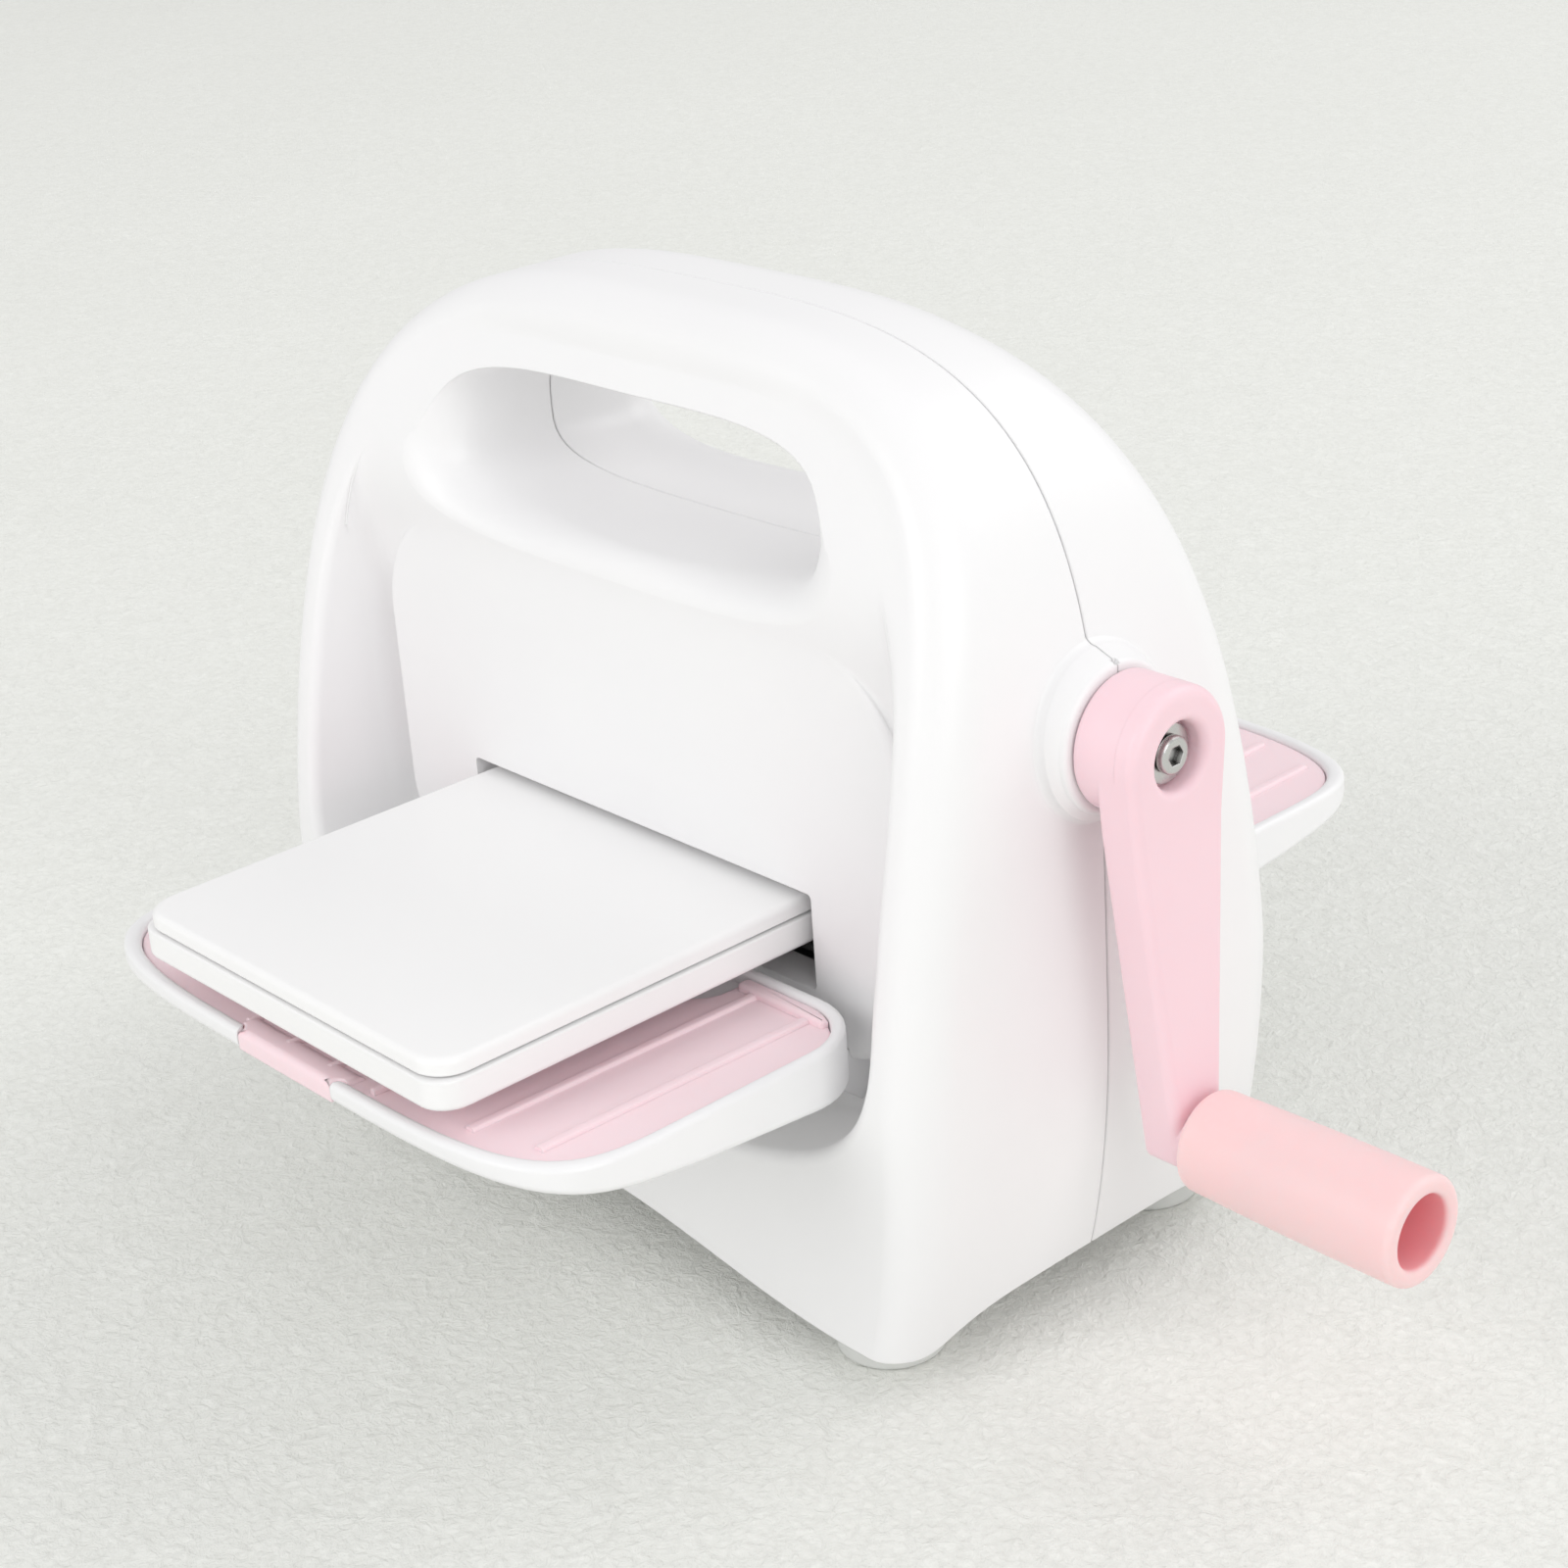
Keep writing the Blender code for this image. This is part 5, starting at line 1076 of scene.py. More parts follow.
copies = copies_tree()
foot_radius, foot_round, stud_round, stud_height = 0.0083, 0.0010, 0.0006, 0.0045
foot = [
    (0.0, foot_height + stud_height), (stud_radius, foot_height + stud_height),
    (stud_radius, foot_height), (foot_radius, foot_height), (foot_radius, 0.0), (0.0, 0.0),
]
foot_rounds = [0.0, stud_round, 0.0, stud_round, foot_round, 0.0]
foot_mesh = turned("foot", eased(foot, foot_rounds, 7), "feet", Matrix())
four_feet = grown(foot_mesh, copies, "feet", Width=2 * foot_x, Depth=2 * foot_y)
feet_names = [f"{where}_{side}_foot" for where in ("front", "rear") for side in ("left", "right")]
piece("rubber_feet", four_feet, "housing", "feet", feet_names)

# %% Screws that hold the halves together
head_radius, head_height, socket_radius, socket_depth = 0.00225, 0.0018, 0.0010, 0.0010
socket_round, head_round, under_round, tip_round = 0.0001, 0.0004, 0.0002, 0.0003
screw_seat = seat_y + fit
screw = [
    (0.0, head_height - socket_depth), (socket_radius, head_height - socket_depth),
    (socket_radius, head_height), (head_radius, head_height), (head_radius, 0.0),
    (screw_radius, 0.0), (screw_radius, -screw_seat - screw_reach), (0.0, -screw_seat - screw_reach),
]
screw_rounds = [0.0, 0.0, socket_round, head_round, under_round, 0.0, tip_round, 0.0]
screw_mesh = turned("screw", eased(screw, screw_rounds), "steel", Matrix())
screw_rise = screw_heights[1] - screw_heights[0]
four_screws = grown(screw_mesh, copies, "steel", Width=2 * screw_x, Depth=screw_rise)
four_screws.transform(
    Matrix.Translation((0, screw_seat, sum(screw_heights) / 2)) @ Matrix.Rotation(-math.pi / 2, 4, "X")
)
screw_names = [
    f"{level}_{side}_housing_screw" for level in ("lower", "upper") for side in ("left", "right")
]
piece("housing_screws", four_screws, "housing", "steel", screw_names)

# %% [markdown]
# ## The trays
# Each tray is a white rim round a pink insert. It hinges at the foot of the well and folds up
# into it. The rim is one soft band, so its section is followed by many close outlines. The
# insert's ribs are swept along straight paths by a tree.

# %% Tray outlines
tray_half_width, tray_near_y, tray_far_y = 0.0580, 0.0278, 0.0902
tray_far_power, tray_far_depth, tray_near_corner = 4.5, 0.0280, 0.0120
tray_rim_z, tray_rim_width, tray_rim_round, tray_rim_flat = 0.0530, 0.0021, 0.0009, 0.0004
tray_near_bottom_z, tray_far_bottom_z, tray_bottom_power, tray_foot_round = 0.0434, 0.0497, 1.75, 0.0014
tray_skirt, tray_floor_top_z, tray_floor_thickness = 0.0018, 0.0506, 0.0015
knuckle_radius, knuckle_inner_x, knuckle_outer_x, notch_room = 0.0030, 0.0340, 0.0410, 0.0006
insert_fit, insert_soft = 0.0001, 0.0004
insert_near_top_z, insert_far_top_z = 0.0514, 0.0523
lip_inner_x, lip_thickness, lip_top_z, lip_soft = 0.0324, 0.0026, 0.0526, 0.0006
insert_notch_half, insert_notch_depth, insert_notch_corner = 0.0320, 0.0122, 0.0060
rib_width, rib_height, nib_width, nib_height = 0.0018, 0.0006, 0.0011, 0.0010
tab_half_width, tab_inner_y, tab_nose, tab_soft = 0.0118, 0.0852, 0.0020, 0.0012


def tray_outline(inset):
    """A tray from above, as (x, distance from the parting line): round in front, blunt behind."""
    half, near, far = tray_half_width - inset, tray_near_y + inset, tray_far_y - inset
    corner = tray_near_corner - inset
    a = np.linspace(-math.pi / 2, 0.0, 10)
    right = np.stack((half - corner + corner * np.cos(a), near + corner + corner * np.sin(a)), axis=1)
    b = np.linspace(0.0, math.pi, 600)
    across = np.sign(np.cos(b)) * np.abs(np.cos(b)) ** (2 / tray_far_power)
    bow = far - tray_far_depth + tray_far_depth * np.sin(b) ** (2 / tray_far_power)
    bow = evenly(np.stack((half * across, bow), axis=1), 90)
    return np.vstack((right, bow, (right * (-1, 1))[::-1]))


def tray_bottom(y):
    """Height of the tray's underside: it thins towards its far edge."""
    share = np.maximum((y - tray_near_y) / (tray_far_y - tray_near_y), 0.0)
    return tray_near_bottom_z + (tray_far_bottom_z - tray_near_bottom_z) * share**tray_bottom_power


def level_ring(outline, height):
    """An outline seen from above, as points in space at a height, or at one for each point."""
    return np.stack((outline[:, 0], outline[:, 1], np.broadcast_to(height, len(outline))), axis=1)


def tray_skin(name):
    """The outside of a tray: its underside, its foot, the round rim, and its floor."""
    rings = []
    inner = tray_outline(tray_foot_round)
    middle = np.array((0.0, (tray_near_y + tray_far_y) / 2))
    for share in (0.1, 0.3, 0.5, 0.7, 0.85, 0.95):
        outline = middle + share * (inner - middle)
        rings.append(level_ring(outline, tray_bottom(outline[:, 1])))
    for climb, inset in rounding(tray_foot_round, 6):
        outline = tray_outline(inset)
        rings.append(level_ring(outline, tray_bottom(outline[:, 1]) + climb))
    for inset, drop in rounding(tray_rim_round, 6):
        rings.append(level_ring(tray_outline(inset), tray_rim_z - drop))
    for drop, away in rounding(tray_rim_width - tray_rim_round - tray_rim_flat, 4):
        rings.append(level_ring(tray_outline(tray_rim_width - away), tray_rim_z - drop))
    rings.append(level_ring(tray_outline(tray_rim_width), tray_floor_top_z))
    return skin(name, rings)


print("tray outline:", len(tray_outline(0.0)), "points")


# %% Ribs along straight paths
def ribs_tree():
    """Bars with rounded tops that follow the edges of a guide mesh."""
    tree, start, end = new_tree(
        "ribs_on_paths",
        (("Paths", "NodeSocketGeometry"), ("Width", "NodeSocketFloat"), ("Height", "NodeSocketFloat"),
         ("Rounding", "NodeSocketFloat"), ("Finish", "NodeSocketMaterial")),
    )
    line = node(tree, "GeometryNodeMeshToCurve", ((0, start.outputs["Paths"]),))
    section = node(
        tree, "GeometryNodeCurvePrimitiveQuadrilateral",
        (("Width", start.outputs["Width"]), ("Height", start.outputs["Height"])),
    )
    soft = node(
        tree, "GeometryNodeFilletCurve",
        (("Curve", section.outputs[0]), ("Radius", start.outputs["Rounding"]), ("Count", 4)), mode="POLY",
    )
    swept = node(
        tree, "GeometryNodeCurveToMesh",
        (("Curve", line.outputs[0]), ("Profile Curve", soft.outputs[0]), ("Fill Caps", True)),
    )
    return ending(tree, start, end, swept.outputs[0])


ribs = ribs_tree()
rib_paths = ((0.0361, 0.0322, 0.0841), (0.0473, 0.0322, 0.0811))
nib_places, nib_near, nib_far = (-0.0180, -0.0076, 0.0028, 0.0132), 0.0800, 0.0872


def insert_top(y):
    """Height of the insert's upper face, which rises a little towards the far edge."""
    share = (y - tray_near_y) / (tray_far_y - tray_near_y)
    return insert_near_top_z + (insert_far_top_z - insert_near_top_z) * share


def straight_bars(name, places, width, height):
    """Soft bars on the insert, each from one depth to another at its own sideways place."""
    points = [(x, y, float(insert_top(y))) for x, near, far in places for y in (near, far)]
    guide = bpy.data.meshes.new(name)
    guide.from_pydata(points, [(i, i + 1) for i in range(0, len(points), 2)], [])
    soft = 0.9 * min(height, width / 2)
    return grown(guide, ribs, "pink", Width=width, Height=2 * height, Rounding=soft)


print("the insert has", len(hands) * len(rib_paths), "long ribs and", len(nib_places), "short ones")


# %% The white rim
def tab_outline(clear, near, far):
    """The gap in the rim from above: upright sides that turn out round the rim's noses."""
    half, inner = tab_half_width - clear, tray_far_y - tray_rim_width
    turn_out = [(half + away, inner + back) for away, back in rounding(tab_nose, 7)]
    right = np.vstack(([(half + tab_nose, near)], turn_out[::-1], [(half, far)]))
    return np.vstack((right, (right * (-1, 1))[::-1]))


def tray_rim_mesh():
    """The white tray: hollow below, with knuckles on its hinge side and a gap for the tab."""
    body = tray_skin("tray")
    hollow_outline = tray_outline(tray_skirt + tray_rim_round)
    ceiling = tray_floor_top_z - tray_floor_thickness
    below = tray_near_bottom_z - overrun
    cuts = []
    knuckles = []
    for hand in hands:
        span = [(hand * x, hinge_y, hinge_z) for x in (knuckle_inner_x, knuckle_outer_x)]
        knuckles.append(bar("knuckle", knuckle_radius, *span, 32))
        reach = [(hand * x, hinge_y, hinge_z) for x in (knuckle_inner_x - overrun, ear_outer_x)]
        cuts.append(bar("eye", pin_radius + fit, *reach, 24))
        low_x, high_x = sorted((hand * (ear_inner_x - fit), hand * (ear_outer_x + notch_room)))
        cuts.append(
            block(
                "notch", (low_x, tray_near_y - overrun, tray_near_bottom_z - overrun),
                (high_x, hinge_y + ear_radius + 2 * notch_room, hinge_z + ear_radius + notch_room),
            )
        )
    gap = tab_outline(0.0, tab_inner_y - overrun, tray_far_y + overrun)
    cuts.append(skin("gap", [level_ring(gap, z) for z in (tray_floor_top_z + fit, tray_rim_z + overrun)]))
    wall_low = tray_far_y - tray_skirt
    cuts.append(
        block(
            "wall_gap", (-tab_half_width, wall_low, tray_near_bottom_z),
            (tab_half_width, tray_far_y + overrun, tray_floor_top_z + 2 * fit),
        )
    )
    underside = skin("underside", [level_ring(hollow_outline, z) for z in (below, ceiling)])
    body = combined(combined(body, "DIFFERENCE", [underside]), "UNION", knuckles)
    return combined(body, "DIFFERENCE", cuts)


rear_tray = tray_rim_mesh()
print("white rim:", len(rear_tray.polygons), "faces")


# %% The pink insert
def soft_topped(name, outline, bottom, top, soft):
    """A low solid on an outline seen from above, with its upper edge rounded."""
    out = outward(outline)
    rings = [level_ring(outline, bottom)]
    for inset, drop in rounding(soft, 4):
        rings.append(level_ring(outline - inset * out, top - drop))
    return skin(name, rings)


def tray_insert_mesh():
    """The pink insert: a thin floor, a lip at the hinge, ribs, and a tab over the rim."""
    bottom = tray_floor_top_z + insert_fit
    rim = tray_rim_width + insert_fit
    rings = [level_ring(tray_outline(rim), bottom)]
    for inset, drop in rounding(insert_soft, 3):
        outline = tray_outline(rim + inset)
        rings.append(level_ring(outline, insert_top(outline[:, 1]) - drop))
    insert = skin("insert", rings)
    notch = rounded_box(
        insert_notch_half, tray_near_y - insert_notch_depth, tray_near_y + insert_notch_depth,
        insert_notch_corner, insert_notch_corner, 8,
    )
    mouth = skin("mouth", [level_ring(notch, z) for z in (bottom - overrun, lip_top_z)])
    insert = combined(insert, "DIFFERENCE", [mouth])

    lip_far, inside = tray_near_y + rim + lip_thickness, rim + seam / 2
    corner = tray_outline(inside)
    corner = corner[(corner[:, 0] > 0) & (corner[:, 1] < lip_far - 2 * lip_soft)]
    lip = [(lip_inner_x, tray_near_y + inside), *corner, (corner[-1][0], lip_far), (lip_inner_x, lip_far)]
    inner_ease = lip_thickness / 2.2
    lip = np.array(eased(lip, [inner_ease] + [0.0] * (len(lip) - 3) + [lip_soft, inner_ease], 6, True))
    extras = []
    for outline in (lip, (lip * (-1, 1))[::-1]):
        extras.append(soft_topped("lip", outline, bottom + insert_fit, lip_top_z, lip_soft))

    places = [(hand * x, near, far) for x, near, far in rib_paths for hand in hands]
    extras.append(straight_bars("rib_guide", places, rib_width, rib_height))
    places = [(x, nib_near, nib_far) for x in nib_places]
    extras.append(straight_bars("nib_guide", places, nib_width, nib_height))

    foot = tab_outline(insert_fit, tab_inner_y, tray_far_y - insert_fit)
    saddle = [level_ring(foot, bottom + insert_fit)]
    for shrink, drop in rounding(tab_soft, 5):
        clear = insert_fit + shrink
        outline = tab_outline(clear, tab_inner_y + 2 * shrink, tray_far_y - clear)
        saddle.append(level_ring(outline, tray_rim_z + insert_fit - drop))
    extras.append(skin("saddle", saddle))
    half = tab_half_width - insert_fit
    extras.append(
        block(
            "apron", (-half, tray_far_y - tray_skirt + insert_fit, tray_far_bottom_z + 2 * insert_fit),
            (half, tray_far_y - insert_fit, bottom + tab_soft),
        )
    )
    # One at a time, because pieces that touch each other leave open edges in a single pass.
    for extra in extras:
        insert = combined(insert, "UNION", [extra])
    return insert


rear_insert = tray_insert_mesh()
print("pink insert:", len(rear_insert.polygons), "faces")

# %% Both trays
half_turn = Matrix.Rotation(math.pi, 4, "Z")
for where in ("rear", "front"):
    for kind, mesh, slot, finish, replaced in (
        ("rim", rear_tray, "tray_rim", "tray_rim", f"{where}_tray"),
        ("insert", rear_insert, "pink", "insert_pink", f"{where}_tray_insert"),
    ):
        copy = mesh.copy()
        if where == "front":
            copy.transform(half_turn)
        piece(f"{where}_tray_{kind}", copy, f"{where}_tray_set", slot, [replaced], finish)

# %% [markdown]
# ## The plates
# A thick base plate and a thin top plate hold the paper and the die between them. They are
# polished plastic with a small round on every edge, and a dark joint runs between them.

# %% Plates
plate_width, plate_length, plate_front_y = 0.0760, 0.1100, -0.0896
plate_edge, plate_joint_edge = 0.0010, 0.00025
base_plate_corner, top_plate_corner, top_plate_inset = 0.0046, 0.0052, 0.0006


def plate(name, inset, corner, bottom, top, low_edge, high_edge):
    """A plate with rounded corners. Its edges are rounder outside than at the joint."""
    half, low, high = plate_width / 2 - inset, plate_front_y + inset, plate_front_y + plate_length - inset
    levels = [(shrink, bottom + climb) for climb, shrink in rounding(low_edge, 5)]
    levels += [(shrink, top - drop) for shrink, drop in rounding(high_edge, 5)]
    rings = []
    for shrink, height in levels:
        outline = rounded_box(half - shrink, low + shrink, high - shrink, corner, corner, 9)
        rings.append(level_ring(outline, height))
    return skin(name, rings)


for name, inset, corner, edges in (
    ("base_plate", 0.0, base_plate_corner, (plate_edge, plate_joint_edge)),
    ("top_plate", top_plate_inset, top_plate_corner, (plate_joint_edge, plate_edge)),
):
    low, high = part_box(name)
    mesh = plate(name, inset, corner, low.z, high.z, *edges)
    piece(f"moulded_{name}", mesh, "plate_stack", "plates", [name])

# %% [markdown]
# ## The crank
# The arm is a flat tapered lever whose round hub slips over the shaft. A screw and a washer
# sit in a soft funnel in its face, and a hollow grip turns on a shouldered screw at its end.

# %% Crank arm
arm_hub_radius, arm_hub_inner_x, arm_face_x, arm_thickness = 0.0100, 0.0793, 0.0902, 0.0070
arm_tip_width, arm_length, arm_tip_below = 0.0092, 0.0573, 0.0041
arm_lean_start, arm_lean, arm_edge, arm_back_edge = 0.0100, math.radians(3.4), 0.0017, 0.0009
arm_tip_corner, hub_clear, hub_round, collar_round = 0.0016, 0.00002, 0.0008, 0.0004
web_inner_x, web_outer_x, collar_radius, collar_end_x = 0.0835, 0.0865, 0.0048, 0.0940
recess_radius, recess_flare, recess_flare_depth = 0.0049, 0.0013, 0.0016
shaft_radius, crank_screw_radius, grip_screw_radius = 0.0040, 0.0015, 0.0022


def arm_shift(below):
    """How far the arm leans outwards, from a little below its hub."""
    return math.tan(arm_lean) * np.maximum(below - arm_lean_start, 0.0)


def arm_outline(inset):
    """The arm from the side, as (y, height over the crank's axis): a round top, a narrow tip."""
    radius = arm_hub_radius - hub_clear - inset
    tip = arm_length + arm_tip_below - inset
    half_tip = arm_tip_width / 2 - inset
    corner = arm_tip_corner - inset
    lean = math.atan2(arm_hub_radius - arm_tip_width / 2, arm_length)
    top = np.linspace(-lean, math.pi + lean, 61)
    arc = np.stack((radius * np.cos(top), radius * np.sin(top)), axis=1)
    start, end = arc[-1], np.array((-half_tip, -tip + corner))
    side = start + np.linspace(0.0, 1.0, 25)[1:-1, None] * (end - start)
    down = np.linspace(math.pi, 1.5 * math.pi, 9)
    low = (corner - half_tip, corner - tip) + corner * np.stack((np.cos(down), np.sin(down)), axis=1)
    right = (np.vstack((side, low)) * (-1, 1))[::-1]
    return np.vstack((arc, side, low, right))


def arm_strips():
    """Pairs of outline points at equal heights, from the top down, which share a flat strip."""
    arc, side = 61, 32
    pairs = [((arc - 1) // 2,) * 2]
    pairs += [(i, arc - 1 - i) for i in range((arc - 1) // 2 - 1, -1, -1)]
    return pairs + [(arc + 2 * side - 1 - i, arc + i) for i in range(side)]


def arm_ring(inset, x):
    """The arm's outline as points in space, shifted outwards as the arm leans."""
    outline = arm_outline(inset)
    return np.stack((x + arm_shift(-outline[:, 1]), outline[:, 0], crank_z + outline[:, 1]), axis=1)


back_x = arm_face_x - arm_thickness
rings = [arm_ring(inset, back_x + climb) for climb, inset in rounding(arm_back_edge, 5)]
rings += [arm_ring(inset, arm_face_x - drop) for inset, drop in rounding(arm_edge, 8)]
lever = skin("lever", rings, arm_strips())
print("lever:", len(lever.polygons), "faces")

# %% Hub, recess and collar
def at_crank(below=0.0):
    """Lays a turned mesh on the crank's axis, or on an axis that far below it."""
    return Matrix.Translation((0, 0, crank_z - below)) @ along_x


hub_end_x = arm_face_x - 2 * arm_edge
hub = [
    (0.0, hub_end_x), (arm_hub_radius, hub_end_x),
    (arm_hub_radius, arm_hub_inner_x), (0.0, arm_hub_inner_x),
]
hub_mesh = turned("hub", eased(hub, [0.0, 0.0, hub_round, 0.0]), "pink", at_crank(), 120)
tip_middle_x = back_x + float(arm_shift(arm_length)) + arm_thickness / 2
collar = [
    (0.0, collar_end_x), (collar_radius, collar_end_x), (collar_radius, tip_middle_x), (0.0, tip_middle_x),
]
collar_mesh = turned("collar", eased(collar, [0.0, collar_round, 0.0, 0.0]), "pink", at_crank(arm_length))
recess = [(0.0, arm_face_x + overrun), (recess_radius + recess_flare, arm_face_x + overrun)]
for a in quarter(9):
    radius = recess_radius + recess_flare * (1 - math.sin(a))
    recess.append((radius, arm_face_x - recess_flare_depth * (1 - math.cos(a))))
recess += [(recess_radius, web_outer_x), (0.0, web_outer_x)]
arm_cuts = [turned("recess", recess, "pink", at_crank(), 96)]
for name, radius, low, high, below in (
    ("bore", shaft_radius, arm_hub_inner_x - overrun, web_inner_x, 0.0),
    ("hole", crank_screw_radius, web_inner_x - overrun, web_outer_x + overrun, 0.0),
    ("grip_hole", grip_screw_radius, back_x - overrun, collar_end_x + overrun, arm_length),
):
    ends = [(x, 0, crank_z - below) for x in (low, high)]
    arm_cuts.append(bar(name, radius + fit, *ends))
arm = combined(combined(lever, "UNION", [hub_mesh, collar_mesh]), "DIFFERENCE", arm_cuts)
piece("lever_arm", arm, "crank", "pink", ["crank_arm"])

# %% Grip
grip_inner_x, grip_end_x, grip_inner_radius, grip_outer_radius = 0.0943, 0.1310, 0.0076, 0.0081
grip_bore_radius, grip_bore_depth, grip_swell = 0.0054, 0.0260, 0.00015
grip_round, grip_hole_round, grip_bore_round = 0.0013, 0.0002, 0.0010
grip_floor_x = grip_end_x - grip_bore_depth
outside = []
for t in np.linspace(0.0, 1.0, 9):
    radius = grip_inner_radius + (grip_outer_radius - grip_inner_radius) * t
    x = grip_inner_x + (grip_end_x - grip_inner_x) * t
    outside.append((radius + grip_swell * math.sin(math.pi * t), x))
grip_profile = outside[::-1] + [
    (grip_screw_radius + fit, grip_inner_x), (grip_screw_radius + fit, grip_floor_x),
    (grip_bore_radius, grip_floor_x), (grip_bore_radius, grip_end_x),
]
rounds = [grip_round, *[0.0] * 7, grip_round, grip_hole_round, 0.0, grip_bore_round, grip_bore_round]
grip = turned("grip", eased(grip_profile, rounds, 8, True), "grip", at_crank(arm_length), 96, True)
piece("hollow_grip", grip, "grip_sleeve", "grip", ["grip"])


# %% Washer and socket screws
arm_screw_head, arm_screw_socket = (0.00275, 0.0012), (0.00155, 0.00105)
sleeve_screw_head, sleeve_screw_socket = (0.0040, 0.0028), (0.0020, 0.0015)
socket_screw_rounds = [0.0, 0.0006, 0.0001, 0.0001, 0.0003, 0.0]
washer_radius, washer_round = 0.0044, 0.0002


def hexagon(name, radius, low_x, high_x, below):
    """A six-sided bar on an axis below the crank's."""
    a = np.linspace(0.0, 2 * math.pi, 6, endpoint=False)
    return skin(
        name,
        [
            np.stack((np.full(6, x), radius * np.cos(a), crank_z - below + radius * np.sin(a)), axis=1)
            for x in (low_x, high_x)
        ],
    )


def socket_screw(name, node_name, head, shank, socket, below):
    """A socket screw in the place of a node. Its head and socket are given as (radius, height)."""
    low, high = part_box(node_name)
    top, end_x = high.x - machine_shift_x, low.x - machine_shift_x
    seat = top - head[1]
    profile = [(0.0, top), (head[0], top), (head[0], seat), (shank, seat), (shank, end_x), (0.0, end_x)]
    solid = turned(name, eased(profile, socket_screw_rounds, 6), "steel", at_crank(below))
    hole = hexagon(f"{name}_hex", socket[0], top - socket[1], top + overrun, below)
    piece(name, combined(solid, "DIFFERENCE", [hole]), "crank", "steel", [node_name])


socket_screw("arm_screw", "crank_screw", arm_screw_head, crank_screw_radius, arm_screw_socket, 0.0)
socket_screw(
    "sleeve_screw", "grip_screw", sleeve_screw_head, grip_screw_radius, sleeve_screw_socket, arm_length
)
washer_low, washer_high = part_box("crank_washer")
washer_back, washer_front = washer_low.x - machine_shift_x, washer_high.x - machine_shift_x
washer_hole = crank_screw_radius + fit
washer = [
    (washer_hole, washer_front), (washer_radius, washer_front),
    (washer_radius, washer_back), (washer_hole, washer_back),
]
washer_mesh = turned("washer", eased(washer, washer_round, 4, True), "steel", at_crank(), 72, True)
piece("round_washer", washer_mesh, "crank", "steel", ["crank_washer"])

# %% Rods and pins
bar_round, shoulder = 0.0003, 0.0432
rod_radius, spigot_radius, rod_y, rod_heights = 0.0035, 0.0020, 0.0112, (0.0240, 0.0890)
rod_low, rod_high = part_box("lower_front_tie_rod")
rod_end = (rod_high.x - rod_low.x) / 2
rod = [
    (0.0, rod_end), (spigot_radius, rod_end), (spigot_radius, shoulder), (rod_radius, shoulder),
    (rod_radius, -shoulder), (spigot_radius, -shoulder), (spigot_radius, -rod_end), (0.0, -rod_end),
]
rod_mesh = turned("rod", eased(rod, bar_round, 4), "frame_steel", Matrix(), 40)
four_rods = grown(rod_mesh, copies, "frame_steel", Width=rod_heights[1] - rod_heights[0], Depth=2 * rod_y)
four_rods.transform(Matrix.Translation((0, 0, sum(rod_heights) / 2)) @ along_x)
rod_names = [f"{level}_{where}_tie_rod" for level in ("lower", "upper") for where in ("front", "rear")]
piece("tie_rods", four_rods, "housing", "frame_steel", rod_names)

pin_start, pin_end = knuckle_inner_x + fit, ear_outer_x
pin_half = (pin_end - pin_start) / 2
pin = [(0.0, pin_half), (pin_radius, pin_half), (pin_radius, -pin_half), (0.0, -pin_half)]
pin_mesh = turned("pin", eased(pin, bar_round, 4), "steel", along_x, 32)
four_pins = grown(pin_mesh, copies, "steel", Width=pin_start + pin_end, Depth=2 * hinge_y)
four_pins.transform(Matrix.Translation((0, 0, hinge_z)))
pin_names = [f"{where}_{side}_hinge_pin" for where in ("front", "rear") for side in ("left", "right")]
piece("hinge_pins", four_pins, "housing", "steel", pin_names)

# %% [markdown]
# ## Pieces that keep their CAD shape
# The side frames, gears, bushes and the crank shaft are already as fine as they need to be.
# They stay where the frame put them and only get a better finish.

# %% Finishes for the pieces inside
kept = {
    "frame_steel": ("left_frame", "right_frame"),
    "gear_steel": ("crank_pinion", "upper_roller_gear", "lower_roller_gear"),
    "steel": ("crank_shaft",),
    "bronze": (
        "lower_left_roller_bush", "lower_right_roller_bush", "upper_left_roller_bush",
        "upper_right_roller_bush", "crank_frame_bush", "crank_boss_bush",
    ),
}
for slot, names in kept.items():
    for name in names:
        mesh = frame["nodes"][name].data
        mesh.materials.clear()
        mesh.materials.append(finishes[slot])
print("dressed in place:", sum(len(names) for names in kept.values()), "nodes")

# %% [markdown]
# ## Floor and light
# The object stands on pale, slightly rough paper. Large soft lamps and an even sky light it
# about as brightly as its colours are written, so that white plastic keeps its shape.

# %% Paper floor
crumple_depth = 0.0008


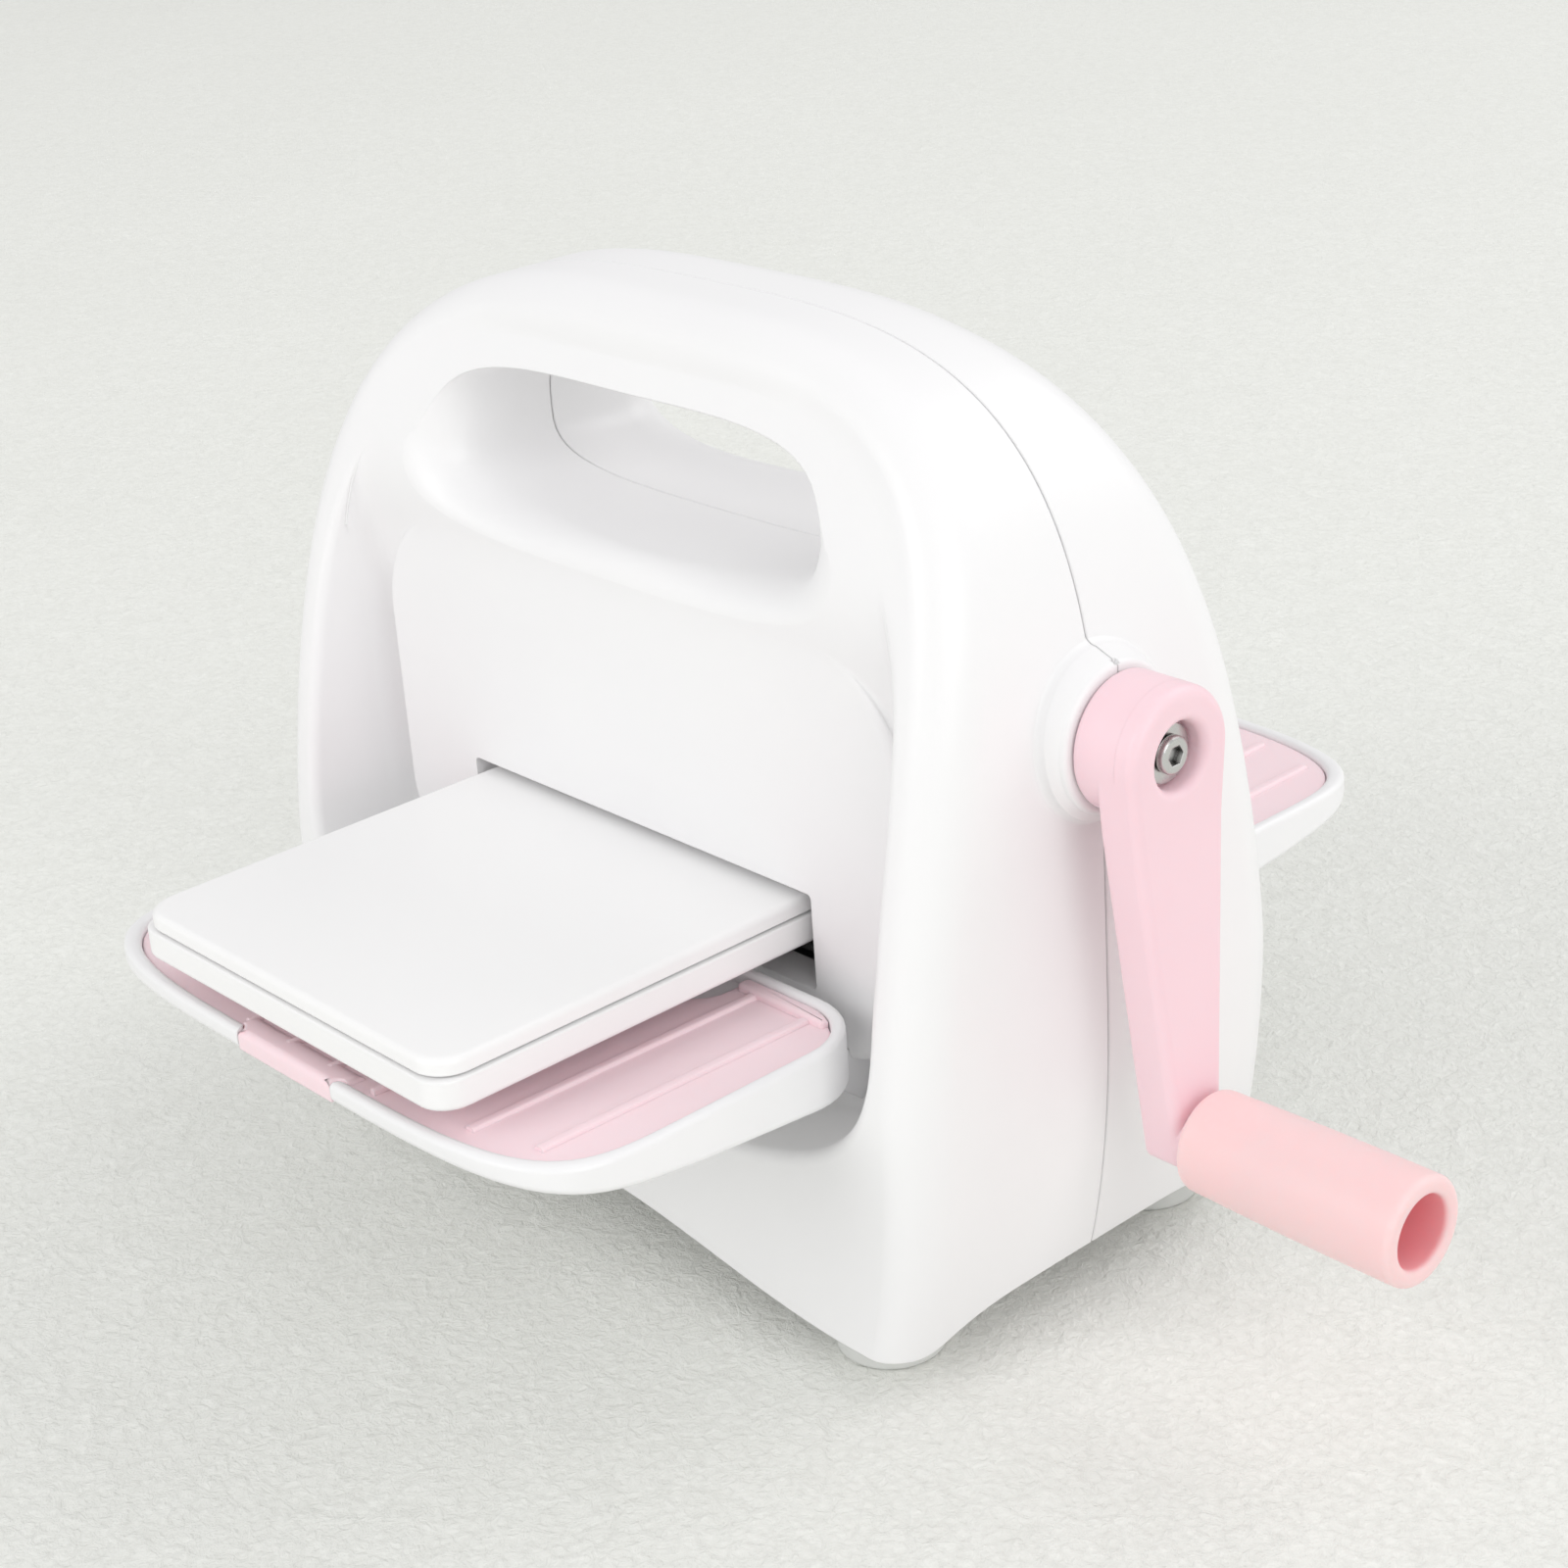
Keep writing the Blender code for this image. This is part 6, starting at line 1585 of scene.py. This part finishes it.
def paper():
    """Pale paper with fibres and small folds, clouds of a slightly different tone, and painted shade on its
    folds.
    """
    made, tree, shader = new_material("paper")
    fibres = noise(tree, 620.0, 6.0, Roughness=0.62, Distortion=0.7)
    folds = noise(tree, 190.0, 4.0, Roughness=0.6, Distortion=1.2)
    clouds = noise(tree, 6.0, 2.0)
    summed = node(tree, "ShaderNodeMath", ((0, fibres), (1, folds)), operation="ADD")
    crumpled = summed.outputs["Value"]
    shade_tone = mixed(tree, clouds, (0.825, 0.832, 0.792), (0.855, 0.860, 0.822))
    light_tone = mixed(tree, clouds, (0.890, 0.898, 0.860), (0.915, 0.922, 0.887))
    # Raised paper takes the lighter tone and low paper the darker one: painted shade on the folds, over the
    # bump. The clouds are the paper's own tone.
    fold_shade = ranged(tree, crumpled, 0.75, 1.25)
    tree.links.new(mixed(tree, fold_shade, shade_tone, light_tone), shader.inputs["Base Color"])
    bump = node(
        tree, "ShaderNodeBump",
        (("Strength", 0.7), ("Distance", crumple_depth), ("Height", crumpled)),
    )
    tree.links.new(bump.outputs["Normal"], shader.inputs["Normal"])
    shader.inputs["Roughness"].default_value = 0.9
    shader.inputs["Specular IOR Level"].default_value = 0.2
    return made


floor_half = 4.0
floor_mesh = bpy.data.meshes.new("paper_floor")
corners = [(x * floor_half, y * floor_half, 0.0) for x, y in ((-1, -1), (1, -1), (1, 1), (-1, 1))]
floor_mesh.from_pydata(corners, [], [(0, 1, 2, 3)])
floor_mesh.materials.append(paper())
floor = bpy.data.objects.new("paper_floor", floor_mesh)
bpy.context.scene.collection.objects.link(floor)
print("paper floor:", 2 * floor_half, "m wide")

# %% Lamps and sky
sky = bpy.data.worlds.new("studio")
sky.use_nodes = True
light = sky.node_tree.nodes["Background"].inputs
light["Color"].default_value = (1.0, 1.0, 1.0, 1.0)
light["Strength"].default_value = 0.70
bpy.context.scene.world = sky
lamp_target = Vector((0.0, 0.0, 0.06))


def softbox(name, place, size, power):
    """A round soft lamp that is aimed at the machine."""
    lamp = bpy.data.lights.new(name, "AREA")
    lamp.shape = "DISK"
    lamp.size = size
    lamp.energy = power
    obj = bpy.data.objects.new(name, lamp)
    obj.location = place
    aim = lamp_target - Vector(place)
    obj.rotation_euler = aim.to_track_quat("-Z", "Y").to_euler()
    bpy.context.scene.collection.objects.link(obj)
    print(name, "at", place, "with", power, "W")


softbox("front_lamp", (-0.8, -2.8, 1.6), 2.0, 25.0)
softbox("right_lamp", (2.6, -0.7, 1.5), 2.2, 23.0)
softbox("rear_lamp", (0.9, 2.4, 2.2), 2.4, 24.0)
